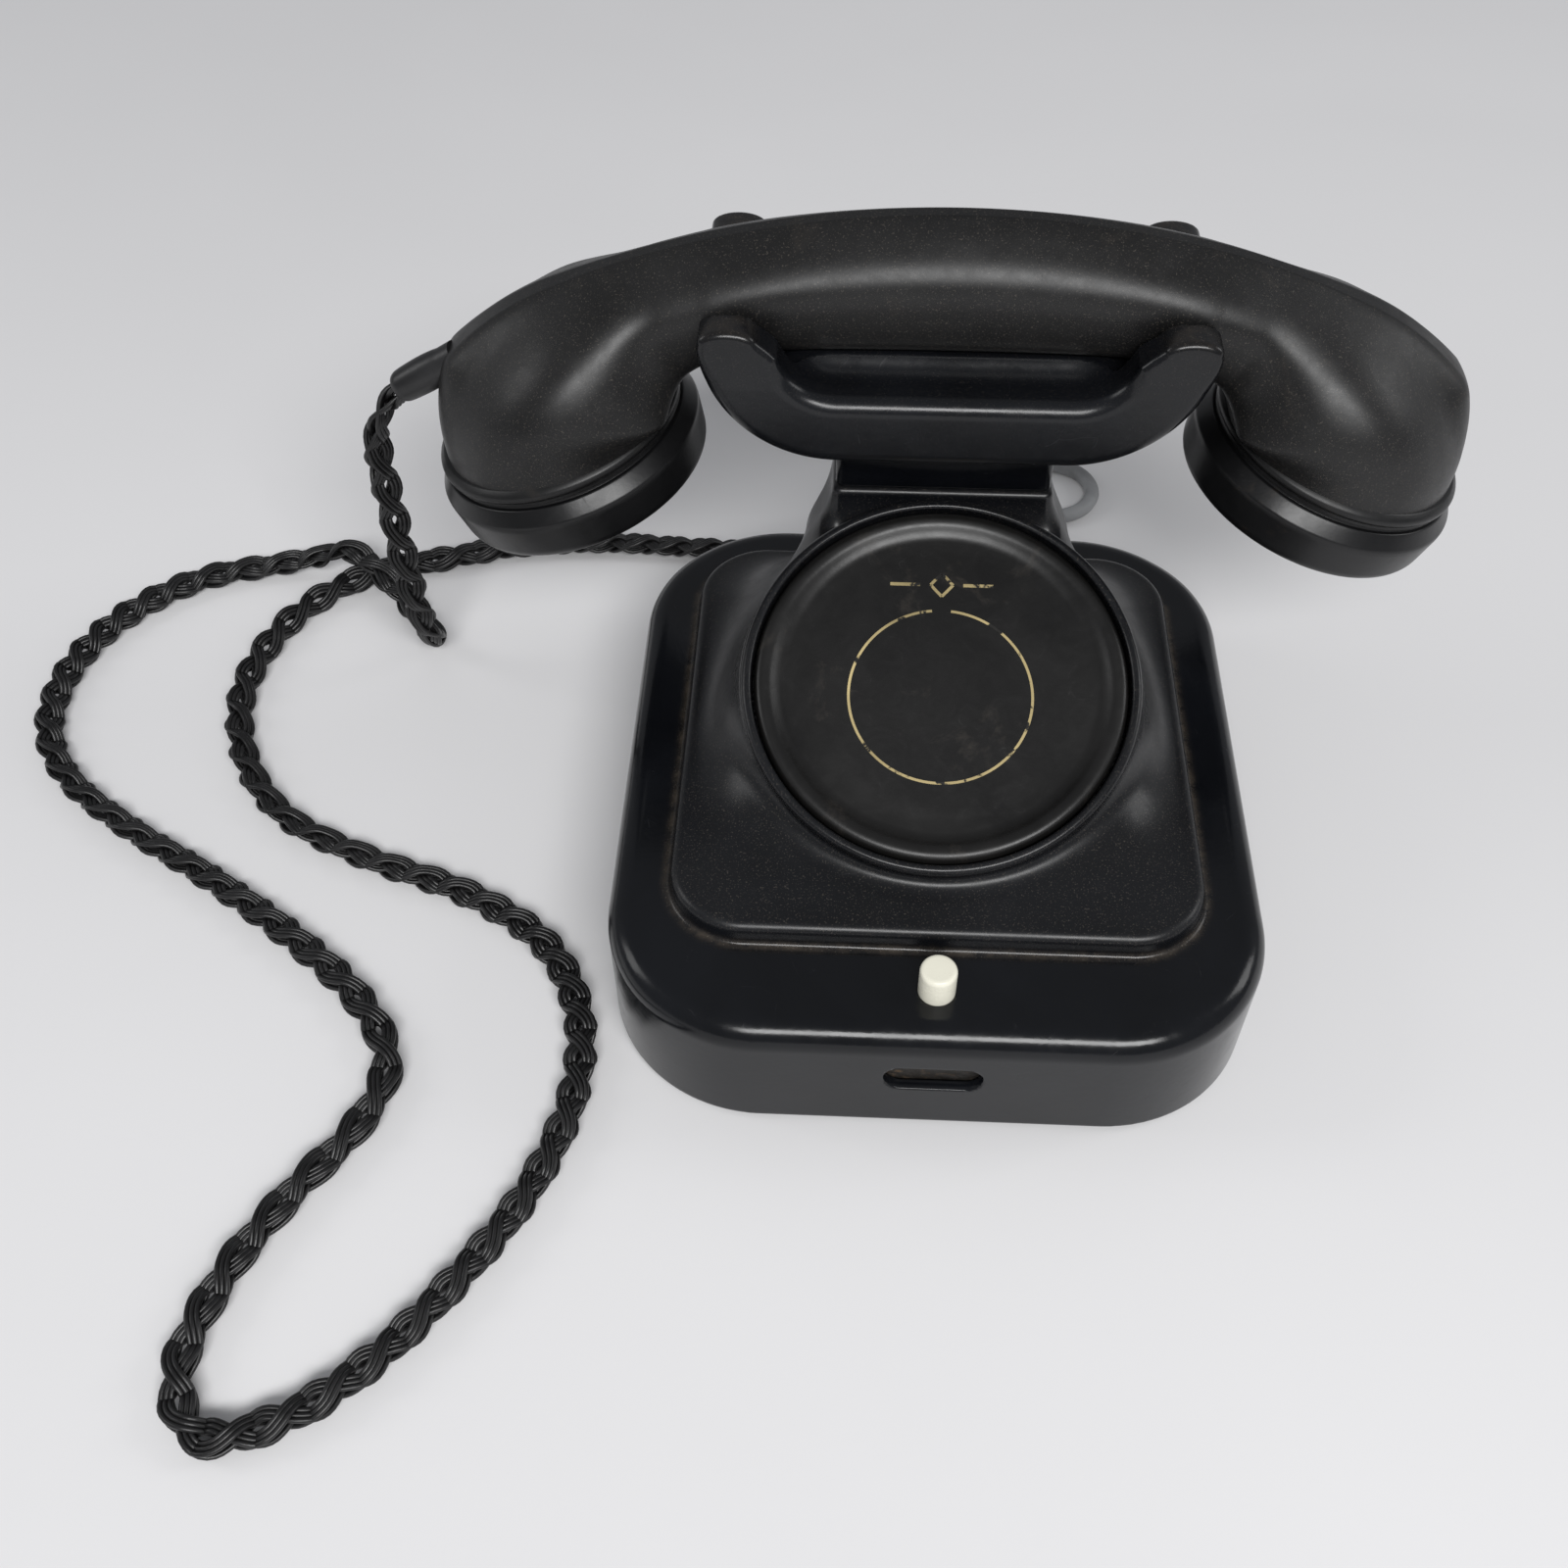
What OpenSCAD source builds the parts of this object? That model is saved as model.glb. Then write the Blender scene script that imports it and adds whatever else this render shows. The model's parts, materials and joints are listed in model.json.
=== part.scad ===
// Desk telephone with a cradle handset, a blank plate in the dial opening and one call button.
// Millimetres. Origin on the desk under the middle of the base, +Z up, front towards -Y.

/* [Base] */
// Width of the base
base_w = 148; // [140:1:156]
// Depth of the base
base_d = 164; // [158:1:172]
// Height of the shelf at its outer edge
shelf_z = 34.5; // [32:0.5:37]
// Corner radius of the base in plan
base_r = 36; // [32:1:38]
// Wall thickness of the mouldings
wall = 2.6; // [2.2:0.1:3]

/* [Dial opening] */
// Radius of the lip around the blank plate
lip_r = 45.7; // [44:0.1:46]
// Slope of the blank plate from the horizontal, degrees
plate_tilt = 23; // [20:0.5:26]
// Height of the middle of the lip
lip_z = 63.2; // [62:0.2:64]

/* [Cradle] */
// Distance of the handset's middle plane behind the base's middle
cradle_y = 54.5; // [54:0.5:55]
// Depth of the cradle, front to back
cradle_d = 50; // [47:1:51]
// How far the cradle rises when the handset is lifted
cradle_rise = 5; // [4:0.5:5]

/* [Handset] */
// Height of the handset's highest point
handset_top = 146; // [145:0.5:148]
// Radius of the handle's arched back
back_r = 222; // [215:1:230]
// Distance of each cup from the middle
cup_x = 90.3; // [89:0.1:91]
// Lean of each cup towards the middle, degrees
cup_tilt = 16.8; // [16:0.1:18]

/* [Button] */
// Diameter of the call button
button_d = 8.3; // [8:0.1:9]

/* [Cords] */
// Diameter of the braided handset cord
braid_d = 7.4; // [7:0.1:8]
// Diameter of the line cord
line_d = 4.5; // [4:0.1:5]

/* [Hidden] */
$fn = 48;

black = [0.05, 0.05, 0.055];
steel = [0.62, 0.63, 0.65];
brass = [0.78, 0.62, 0.3];
brown = [0.32, 0.2, 0.12];

foot_gap = 1.5;          // the moulding's lower edge above the desk
floor_z = 3.2;           // underside of the base plate
plate_t = 1.2;           // thickness of the base plate
deck_z = floor_z + plate_t;
edge_r = 6;              // rounding between the side wall and the shelf
step_z = shelf_z + 0.8;  // foot of the small step above the shelf
plateau_z = 39.8;        // upper edge of the step
plateau_w = 120.4;
plateau_front = -58;
plateau_back = 67;
plateau_r = 17.6;
lip_y = -3.5;
lip_t = 2.3;             // width of the lip's top face
lip_h = 6;               // depth of the collar below the lip
neck_w = 52.6;
neck_front = 42.6;
neck_back = 65.5;
neck_z = 79.6;           // shoulder on which the sleeve comes down
column_top = 92;
clear = 0.3;             // gap between pieces that move past each other
button_y = -68.3;
button_top = 42.3;
slot_w = 21.5;
slot_h = 9.3;
slot_z = 19.6;
cord_exit_x = -30;       // handset cord gland in the back wall
line_exit_x = 18;        // line cord gland in the back wall
gland_z = 14;
post_x = 60;
post_y = 62;
foot_x = 46;
foot_y = 64;

// ---- outlines and lofts ----

// Rounded rectangle as points: half width, front and back edges, corner radius. Corners and straight
// runs both carry n steps, so that rings of this kind join smoothly to a circle.
function corners(hw, front, back, r) = [[hw - r, back - r, 0], [r - hw, back - r, 90],
    [r - hw, front + r, 180], [hw - r, front + r, 270]];
function round_rect(hw, front, back, r, n = 6) = let (c = corners(hw, front, back, r)) [
    for (q = [0 : 3], i = [0 : 2 * n - 1])
    let (a = c[q][2] + 90 * min(i, n) / n, s = max(0, i - n) / n, d = c[(q + 1) % 4])
    [c[q][0] * (1 - s) + d[0] * s + r * cos(a), c[q][1] * (1 - s) + d[1] * s + r * sin(a)]];

function ring_at(outline, z) = [for (p = outline) [p[0], p[1], z]];

// Closed skin through rings of equal length, each anticlockwise seen from the last ring's side
function middle(ring) = let (m = len(ring)) [for (k = [0 : 2]) sum_of(ring, k) / m];
function sum_of(ring, k, i = 0) = i == len(ring) ? 0 : ring[i][k] + sum_of(ring, k, i + 1);
module skin(rings) {
    m = len(rings[0]);
    k = len(rings);
    polyhedron(
        points = concat([for (r = rings, p = r) p], [middle(rings[0]), middle(rings[k - 1])]),
        faces = concat(
            [for (j = [0 : m - 1]) [k * m, j, (j + 1) % m]],
            [for (i = [0 : k - 2], j = [0 : m - 1]) let (a = i * m + j, b = i * m + (j + 1) % m)
                [a, b + m, b]],
            [for (i = [0 : k - 2], j = [0 : m - 1]) let (a = i * m + j, b = i * m + (j + 1) % m)
                [a, a + m, b + m]],
            [for (j = [0 : m - 1]) [k * m + 1, (k - 1) * m + (j + 1) % m, (k - 1) * m + j]]),
        convexity = 6);
}

// The frame of the blank plate: origin in the middle of the lip, +Z out of the plate
module on_plate() translate([0, lip_y, lip_z]) rotate([plate_tilt, 0, 0]) children();

// A point of the plate's frame in the base's frame
function from_plate(p) = [p[0], lip_y + p[1] * cos(plate_tilt) - p[2] * sin(plate_tilt),
    lip_z + p[1] * sin(plate_tilt) + p[2] * cos(plate_tilt)];

// Rings of the housing's outer form, or of its hollow when t is the wall thickness
function band_ring(z, inset, t) = ring_at(round_rect(base_w / 2 - inset - t, -base_d / 2 + inset + t,
    base_d / 2 - inset - t, base_r - inset - t), z);
function step_ring(z, grow, t) = ring_at(round_rect(plateau_w / 2 + grow - t, plateau_front - grow + t,
    plateau_back + grow - t, plateau_r + grow - t), z);

// Ring between the plateau's edge (s = 0) and the lip (s = 1), hollowed in profile
function cowl_ring(s, t) = let (o = round_rect(plateau_w / 2 - 1.2 - t, plateau_front + 1.2 + t,
        plateau_back - 1.2 - t, plateau_r - 1.2 - t))
    [for (p = o) let (a = atan2(p[1] - lip_y, p[0]),
            q = from_plate([(lip_r - t) * cos(a), (lip_r - t) * sin(a), -lip_h - t]))
        [p[0] + (q[0] - p[0]) * s, p[1] + (q[1] - p[1]) * s,
            plateau_z - t + (q[2] - plateau_z + t) * pow(s, 1.7)]];

function lip_ring(t) = [for (p = round_rect(plateau_w / 2, plateau_front, plateau_back, plateau_r))
    let (a = atan2(p[1] - lip_y, p[0])) from_plate([(lip_r - t) * cos(a), (lip_r - t) * sin(a), 0])];

function housing_rings(t, bottom) = concat(
    [band_ring(bottom, 0, t)],
    [for (a = [0 : 30 : 90]) band_ring(shelf_z - edge_r + (edge_r - t) * sin(a), (edge_r - t) * (1 - cos(a)), t)],
    [step_ring(step_z - t, 1.4, t), step_ring(plateau_z - 1.2 - t, 0.2, t)],
    [for (s = [0, 0.35, 0.65, 0.85, 1]) cowl_ring(s, t)],
    t > 0 ? [] : [lip_ring(0)]);

// Front view of the neck with its hollow flares, from the plateau up to z_top
module neck_outline(hw, z_low, z_top, flare) {
    polygon(concat(
        [[hw, z_top], [-hw, z_top]],
        [for (a = [0 : 15 : 90]) [-hw - flare * (1 - cos(a)), z_low + flare * (1 - sin(a))]],
        [[-hw - flare, z_low - 2], [hw + flare, z_low - 2]],
        [for (a = [90 : -15 : 0]) [hw + flare * (1 - cos(a)), z_low + flare * (1 - sin(a))]]));
}

// ---- housing ----

module neck_solid(grow, z_low, z_top, flare) {
    translate([0, neck_back + grow, 0]) rotate([90, 0, 0])
        linear_extrude(neck_back - neck_front + 2 * grow) neck_outline(neck_w / 2 + grow, z_low, z_top, flare);
}

module guide_column(hw, hd, z_low, z_top) {
    translate([-hw, cradle_y - hd, z_low]) cube([2 * hw, 2 * hd, z_top - z_low]);
}

column_hw = 21.5;
column_hd = 8.4;

seat_r = lip_r - lip_t;  // the blank plate drops into this recess
seat_depth = 6.4;
ledge_r = 39;

module housing() {
    color(black) union() {
        difference() {
            union() {
                skin(housing_rings(0, foot_gap));
                neck_solid(0, plateau_z - 2, neck_z, 14);
                guide_column(column_hw, column_hd, neck_z - 1, column_top);
            }
            skin(housing_rings(wall, foot_gap - 1));
            on_plate() translate([0, 0, -seat_depth]) cylinder(h = seat_depth + 5, r = seat_r, $fn = 96);
            on_plate() translate([0, 0, -14]) cylinder(h = 12, r = ledge_r, $fn = 96);
            neck_solid(-wall, plateau_z - 6, neck_z - wall, 12);
            guide_column(column_hw - 2, column_hd - 2, neck_z - wall - 1, column_top - 2);
            translate([0, cradle_y, column_top - 4]) cylinder(h = 6, r = 2.6);
            translate([0, button_y, shelf_z - 6]) cylinder(h = 12, r = 6);
            slot_hole(slot_w, slot_h, 8);
            for (x = [cord_exit_x, line_exit_x])
                translate([x, base_d / 2 - 6, gland_z]) rotate([-90, 0, 0]) cylinder(h = 12, r = 5);
        }
        for (sx = [-1, 1], sy = [-1, 1]) translate([sx * post_x, sy * post_y, deck_z]) difference() {
            cylinder(h = shelf_z - deck_z - 1, r = 4);
            translate([0, 0, -1]) cylinder(h = 14, r = 1.4);
        }
    }
}

// Slot with round ends in the front wall
module slot_hole(w, h, depth) {
    translate([0, -base_d / 2 + depth - 2, slot_z]) rotate([90, 0, 0]) linear_extrude(depth) union() {
        square([w - h, h], center = true);
        for (s = [-1, 1]) translate([s * (w - h) / 2, 0]) circle(d = h);
    }
}

screw_ring_r = 36;

module blank_plate() {
    color([0.07, 0.07, 0.07]) on_plate() difference() {
        rotate_extrude($fn = 96) polygon([
            [0, -4.2], [33, -4.2], [33, -8.3], [38.7, -8.3], [38.7, -seat_depth], [42.9, -seat_depth], [42.9, -1.4],
            [42.1, -0.6], [40.6, -0.2], [39.2, -0.5], [37.4, -1.6], [35, -2.2], [0, -2.2]]);
        for (a = [90, 210, 330]) rotate(a) translate([screw_ring_r, 0, -9]) cylinder(h = 5, r = 1.4);
    }
}

module plate_clamp_ring() {
    color(steel) on_plate() translate([0, 0, -wall - lip_h - 1.5]) difference() {
        cylinder(h = 1.5, r = 42, $fn = 96);
        translate([0, 0, -1]) cylinder(h = 4, r = 33, $fn = 96);
        for (a = [90, 210, 330]) rotate(a) translate([screw_ring_r, 0, -1]) cylinder(h = 4, r = 1.6);
    }
}

module plate_screws() {
    color(steel) on_plate() for (a = [90, 210, 330]) rotate(a) translate([screw_ring_r, 0, -wall - lip_h - 1.5]) {
        translate([0, 0, -1.6]) cylinder(h = 1.6, r = 2.6);
        translate([0, 0, -0.5]) cylinder(h = 5, r = 1.35);
    }
}

module slot_cover() {
    color(brown) translate([-14, -base_d / 2 + wall, slot_z - 7.5]) cube([28, 1.2, 15]);
}

// ---- call button ----

module button_bush() {
    color(black) translate([0, button_y, 0]) difference() {
        union() {
            translate([0, 0, shelf_z - 7]) cylinder(h = 6.8, r = 5.95);
            translate([0, 0, shelf_z - 7]) cylinder(h = 2, r = 7.5);
        }
        translate([0, 0, shelf_z - 8]) cylinder(h = 12, d = button_d + 0.16);
    }
}

module push_button() {
    color([0.93, 0.91, 0.82]) translate([0, button_y, 0]) {
        rotate_extrude() polygon([[0, 14.6], [2, 14.6], [2, 25], [button_d / 2, 25], [button_d / 2, button_top - 0.6],
            [button_d / 2 - 0.6, button_top], [0, button_top]]);
        translate([0, 0, 25]) cylinder(h = 2, r = 5.4);
    }
}

// Round wire along a helix, as a swept tube
module coil_spring(r, wire_r, height, turns) {
    steps = turns * 10;
    skin([for (i = [0 : steps]) let (a = 360 * i / 10, z = wire_r + (height - 2 * wire_r) * i / steps)
        [for (k = [0 : 5]) let (b = -60 * k) [(r + wire_r * cos(b)) * cos(a), (r + wire_r * cos(b)) * sin(a),
            z + wire_r * sin(b)]]]);
}

module button_spring() {
    color(steel) translate([0, button_y, 15.9]) coil_spring(3.6, 0.4, 8.8, 4);
}

module button_contacts() {
    color(brass) translate([0, button_y, 0]) {
        difference() {
            translate([-8, -6, deck_z]) cube([16, 12, 1.6]);
            for (s = [-1, 1]) translate([s * 5.5, 0, deck_z - 1]) cylinder(h = 4, r = 1.2);
        }
        translate([-8, 3.5, deck_z + 1.6]) cube([16, 2.5, 8.2]);
        difference() {
            translate([-8, -6, deck_z + 9.8]) cube([16, 12, 1.6]);
            translate([0, 0, deck_z + 8]) cylinder(h = 6, r = 2.4);
        }
        for (z = [deck_z + 3.4, deck_z + 6.4]) translate([-1.8, -6, z]) cube([3.6, 9.5, 0.5]);
    }
}

// ---- base plate ----

module base_plate() {
    color(steel) difference() {
        translate([0, 0, floor_z]) linear_extrude(plate_t) union() {
            in = wall + 0.4;
            square([base_w - 2 * base_r, base_d - 2 * in], center = true);
            square([base_w - 2 * in, base_d - 2 * base_r], center = true);
            for (sx = [-1, 1], sy = [-1, 1])
                translate([sx * (base_w / 2 - base_r), sy * (base_d / 2 - base_r)]) circle(r = base_r - in, $fn = 64);
        }
        for (sx = [-1, 1], sy = [-1, 1]) {
            translate([sx * post_x, sy * post_y, 0]) cylinder(h = 8, r = 1.7);
            translate([sx * foot_x, sy * foot_y, 0]) cylinder(h = 8, r = 2.5);
        }
    }
}

module rubber_feet() {
    color([0.12, 0.11, 0.1]) for (sx = [-1, 1], sy = [-1, 1]) translate([sx * foot_x, sy * foot_y, 0])
        rotate_extrude() polygon([[0, 0], [4.6, 0], [5.4, 0.8], [5.4, floor_z], [2.5, floor_z],
            [2.5, deck_z], [3.2, deck_z], [3.2, deck_z + 1.2], [0, deck_z + 1.2]]);
}

module base_screws() {
    color(steel) for (sx = [-1, 1], sy = [-1, 1]) translate([sx * post_x, sy * post_y, 0]) difference() {
        union() {
            translate([0, 0, 1.4]) cylinder(h = floor_z - 1.4, r = 3);
            translate([0, 0, floor_z - 0.5]) cylinder(h = 12, r = 1.35);
        }
        translate([-3.5, -0.4, 0.9]) cube([7, 0.8, 1.1]);
    }
}

// ---- ringer ----

pivot_y = -20;
gong_x = 30.5;
gong_y = -46;
gong_r = 23;

module ringer_frame() {
    color(steel) {
        difference() {
            union() {
                translate([-20, -24, deck_z]) cube([40, 32, 1.5]);
                translate([-38, -52, deck_z]) cube([76, 12, 1.5]);
                translate([-6, -41, deck_z]) cube([12, 18, 1.5]);
            }
            for (s = [-1, 1]) translate([s * 16, 3, 0]) cylinder(h = 9, r = 1.6);
            for (s = [-1, 1]) translate([s * gong_x, gong_y, 0]) cylinder(h = 9, r = 1.5);
        }
        translate([-18, 6.5, deck_z + 1.5]) cube([36, 1.5, 20]);
        for (s = [-1, 1]) translate([s * gong_x, gong_y, deck_z + 1.5]) difference() {
            cylinder(h = 12.2, r = 3.2);
            translate([0, 0, -1]) cylinder(h = 16, r = 1.5);
        }
        difference() {
            translate([-3.2, pivot_y - 3.2, deck_z + 1.5]) cube([6.4, 6.4, 4]);
            translate([0, pivot_y, deck_z]) cylinder(h = 9, r = 1.2);
        }
    }
}

module ringer_coils() {
    color([0.5, 0.12, 0.08]) for (s = [-1, 1]) translate([s * 11, -15, 16]) rotate([-90, 0, 0]) {
        cylinder(h = 21.5, r = 3);
        translate([0, 0, 1.5]) cylinder(h = 18, r = 7);
        for (y = [1, 18.5]) translate([0, 0, y]) cylinder(h = 1.2, r = 8.5);
    }
}

module gong(x) {
    color(brass) translate([x, gong_y, deck_z + 15.1]) rotate_extrude($fn = 64) polygon(concat(
        [[1.6, 0]], [for (a = [90 : -15 : 0]) [8 + (gong_r - 8) * cos(a), -10 + 10 * sin(a)]],
        [[gong_r - 1.4, -10]], [for (a = [0 : 15 : 90]) [8 + (gong_r - 9.4) * cos(a), -10 + 8.6 * sin(a)]],
        [[1.6, -1.4]]));
}

module gong_left() gong(-gong_x);
module gong_right() gong(gong_x);

module gong_screws() {
    color(steel) for (s = [-1, 1]) translate([s * gong_x, gong_y, deck_z + 15.1]) difference() {
        union() {
            cylinder(h = 2, r = 3.4);
            translate([0, 0, -14]) cylinder(h = 14.5, r = 1.45);
        }
        translate([-4, -0.4, 1.2]) cube([8, 0.8, 1]);
    }
}

module armature_pin() {
    color(steel) translate([0, pivot_y, deck_z + 1.5]) cylinder(h = 19, r = 1.18);
}

module armature() {
    color(steel) difference() {
        union() {
            translate([-15, pivot_y - 1.5, 11]) cube([30, 3, 10]);
            translate([0, pivot_y, 11]) cylinder(h = 10, r = 3);
            translate([-0.9, -41.5, 15.1]) cube([1.8, 20.2, 1.8]);
        }
        translate([0, pivot_y, 8]) cylinder(h = 20, r = 1.24);
    }
}

module clapper_ball() {
    color(brass) translate([0, -44, 16]) difference() {
        sphere(r = 3.2);
        translate([-0.9, 2.5, -0.9]) cube([1.8, 3, 1.8]);
    }
}

// ---- circuit parts ----

module induction_coil() {
    translate([-49, 18, deck_z]) {
        color([0.25, 0.25, 0.27]) difference() {
            translate([-14, -17, 0]) cube([28, 34, 22]);
            for (s = [-1, 1]) translate([-15, s * 8 - 4.5, 5]) cube([30, 9, 12]);
        }
        color([0.55, 0.35, 0.15]) difference() {
            translate([-16, -12, 5.2]) cube([32, 24, 11.6]);
            translate([-17, -3.3, 3]) cube([34, 6.6, 16]);
        }
    }
}

module capacitor() {
    color([0.6, 0.58, 0.5]) {
        translate([34, -2, deck_z]) cube([26, 38, 20]);
        for (y = [8, 26]) translate([47, y, deck_z + 20]) cylinder(h = 3.5, r = 1.5);
    }
}

module capacitor_strap() {
    color(steel) difference() {
        translate([28, 12, deck_z]) cube([37.5, 9, 21.2]);
        translate([33.8, 11, deck_z - 1]) cube([26.4, 11, 21.2]);
        translate([27, 11, deck_z + 1.2]) cube([5.8, 11, 22]);
        translate([61.2, 11, deck_z + 1.2]) cube([5.8, 11, 22]);
        translate([30.4, 16.5, deck_z - 1]) cylinder(h = 4, r = 1.3);
        translate([63.4, 16.5, deck_z - 1]) cylinder(h = 4, r = 1.3);
    }
}

module terminal_block() {
    color(brown) translate([-25, 59.5, deck_z]) difference() {
        cube([50, 10, 9]);
        for (i = [0 : 4]) translate([5 + 10 * i, 5, 3]) cylinder(h = 8, r = 1.3);
        for (i = [0 : 3]) translate([9.4 + 10 * i, -1, 6]) cube([1.2, 12, 4]);
    }
}

module terminal_screws() {
    color(brass) for (i = [0 : 4]) translate([-20 + 10 * i, 64.5, deck_z]) difference() {
        union() {
            translate([0, 0, 9]) cylinder(h = 2, r = 2.8);
            translate([0, 0, 3.5]) cylinder(h = 6, r = 1.3);
        }
        translate([-3.5, -0.4, 10.2]) cube([7, 0.8, 1]);
    }
}

// ---- hook switch ----

lever_y = cradle_y;
lever_z = 56;
lever_x = 18;
lever_w = 5.2;
tab_z = 68;

module hook_bracket() {
    color(steel) difference() {
        union() {
            translate([-20, 44, deck_z]) cube([42, 13.5, 1.5]);
            translate([-20, 57.5, deck_z]) cube([42, 1.5, 45]);
            translate([7, 57.5, deck_z + 45]) cube([15, 1.5, 12]);
            translate([-5, 57.5, deck_z + 45]) cube([12, 1.5, tab_z - deck_z - 45]);
            translate([-5, cradle_y - 5, tab_z]) cube([10, 9.5, 1.5]);
        }
        translate([0, cradle_y, tab_z - 2]) cylinder(h = 6, r = 2.58);
        translate([lever_x, 60, lever_z]) rotate([90, 0, 0]) cylinder(h = 6, r = 2);
        for (s = [-1, 1]) translate([s * 14, 48, 0]) cylinder(h = 9, r = 1.6);
    }
}

module lever_pin() {
    color(steel) translate([lever_x, 59, lever_z]) rotate([90, 0, 0]) {
        cylinder(h = 9.4, r = 2);
        translate([0, 0, 8.2]) cylinder(h = 1.2, r = 3.2);
    }
}

module hook_lever() {
    color(brass) difference() {
        union() {
            translate([lever_x, lever_y + lever_w / 2, lever_z]) rotate([90, 0, 0]) cylinder(h = lever_w, r = 4);
            translate([-19, lever_y - lever_w / 2, lever_z - 1.5]) cube([lever_x + 19, lever_w, 3]);
            translate([-18, lever_y - 2, 49]) cube([3, 4, 6]);
        }
        translate([lever_x, 60, lever_z]) rotate([90, 0, 0]) cylinder(h = 12, r = 2.06);
    }
}

module hook_contacts() {
    for (z = [36, 40, 44, 48]) color(brass) translate([-18, lever_y - 2, z]) cube([38, 4, 0.5]);
    for (z = [33.5, 36.5, 40.5, 44.5, 48.5]) color(brown)
        translate([9, lever_y - 3, z]) cube([11, 6, z < 34 ? 2.5 : z > 48 ? 1.5 : 3.5]);
}

// ---- cradle ----

cradle_hw = 56;
cradle_low = 97;
saddle_z = 117;
bed_end_z = 112;         // the bed beside the saddle
rim_z = 114;
horn_top = 131;
horn_d = 9.6;

// Front view of the cradle: a curved tray with a horn at each end
module cradle_outline() {
    half = concat(
        [for (a = [-90 : 15 : -5]) [25.5 + 30.5 * cos(a), cradle_low + 30.5 + 30.5 * sin(a)]],
        [[56, 124], [55.8, 128.2]],
        [for (a = [15 : 30 : 165]) [49.4 + 6.3 * cos(a), horn_top - 3 + 3 * sin(a)]],
        [[41.5, 128], [39.6, 125.6]],
        [for (a = [-12 : -26 : -90]) [25.6 + 13.5 * cos(a), rim_z + 13.5 + 13.5 * sin(a)]]);
    polygon(concat(half, [for (i = [len(half) - 1 : -1 : 0]) [-half[i][0], half[i][1]]]));
}

module cradle() {
    color(black) difference() {
        union() {
            translate([0, cradle_y + cradle_d / 2, 0]) rotate([90, 0, 0]) linear_extrude(cradle_d) cradle_outline();
            translate([-36, cradle_y - 13.8, saddle_z - 10]) cube([72, 27.6, 11]);
        }
        // the handle's bed between the horns, lower where the handle bends down to the cups
        translate([-70, cradle_y - cradle_d / 2 + horn_d, saddle_z]) cube([140, cradle_d - 2 * horn_d, 40]);
        for (s = [-1, 1]) translate([s * 50 - 20, cradle_y - cradle_d / 2 + horn_d, bed_end_z])
            cube([40, cradle_d - 2 * horn_d, 40]);
        for (s = [-1, 1]) translate([s * 12, cradle_y, cradle_low - 1]) cylinder(h = 25, r = 1.6);
        for (s = [-1, 1]) translate([s * 12, cradle_y, saddle_z - 4]) cylinder(h = 8, r = 3.3);
    }
}

module plunger_sleeve() {
    color(black) difference() {
        translate([-25.6, cradle_y - 11.3, neck_z + clear]) cube([51.2, 22.6, cradle_low - neck_z - clear]);
        translate([-column_hw - 0.5, cradle_y - column_hd - 0.5, neck_z]) cube([2 * column_hw + 1, 2 * column_hd + 1,
            cradle_low - neck_z - 5]);
        translate([0, cradle_y, cradle_low - 6]) cylinder(h = 8, r = 2.5);
        for (s = [-1, 1]) translate([s * 12, cradle_y, cradle_low - 6]) cylinder(h = 8, r = 1.3);
    }
}

module plunger_rod() {
    color(steel) translate([0, cradle_y, 0]) {
        translate([0, 0, lever_z + 1.5 + clear]) cylinder(h = cradle_low - lever_z - 1.5 - clear, r = 2.5);
        translate([0, 0, 80.5]) cylinder(h = 1.5, r = 5);
    }
}

module plunger_spring() {
    color(steel) translate([0, cradle_y, tab_z + 1.6]) coil_spring(3.8, 0.45, 10.8, 4);
}

module cradle_screws() {
    color(steel) for (s = [-1, 1]) translate([s * 12, cradle_y, 0]) difference() {
        union() {
            translate([0, 0, cradle_low - 4.5]) cylinder(h = saddle_z - 4 - cradle_low + 4.6, r = 1.3);
            translate([0, 0, saddle_z - 4]) cylinder(h = 2, r = 3);
        }
        translate([-3.5, -0.4, saddle_z - 2.8]) cube([7, 0.8, 1]);
    }
}

// ---- handset ----

cup_z = 84;
cup_r = 29.4;            // body just above the cup's rim
rim_r = 30.4;            // small rim that meets the cap
cap_r = 33;              // widest edge of the cap
cap_end_r = 31.4;
handle_low = 117.3;
fan_x = 56;              // the bend's section planes all pass through this line
fan_z = 100;

// Profile heights of the handle at distance x from the middle
function back_z(x) = handset_top - back_r + sqrt(back_r * back_r - x * x);

// The side view's outer edge, seen from the fan's line at angle a above the horizontal
function outer_reach(a) = let (
        shoulder = [117, 107.8], foot = [cup_x + 1.2 + cup_r * cos(cup_tilt), cup_z + 8 - cup_r * sin(cup_tilt)],
        lo = atan2(foot[1] - fan_z, foot[0] - fan_x), mid = atan2(shoulder[1] - fan_z, shoulder[0] - fan_x))
    a <= mid
    ? let (s = (a - lo) / (mid - lo)) norm(foot - [fan_x, fan_z]) * (1 - s) + norm(shoulder - [fan_x, fan_z]) * s
        + 0.5 * sin(180 * s)
    : let (r = [for (k = [0 : 24]) let (x = fan_x + (shoulder[0] - fan_x) * (k / 24))
            [atan2(back_z(x) - 3.6 * pow(max(0, (x - 92) / 22), 2) - fan_z, x - fan_x),
                norm([x - fan_x, back_z(x) - 3.6 * pow(max(0, (x - 92) / 22), 2) - fan_z])]])
        lookup(a, r);

// Distance of the inner edge from the fan's line
function inner_reach(a) = let (s = (a + cup_tilt) / (90 + cup_tilt)) 8.1 + 0.4 * s + 4 * pow(s, 5);

function mix(a, b, w) = a * (1 - w) + b * w;
function ease(t) = let (u = max(0, min(1, t))) u * u * (3 - 2 * u);

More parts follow.
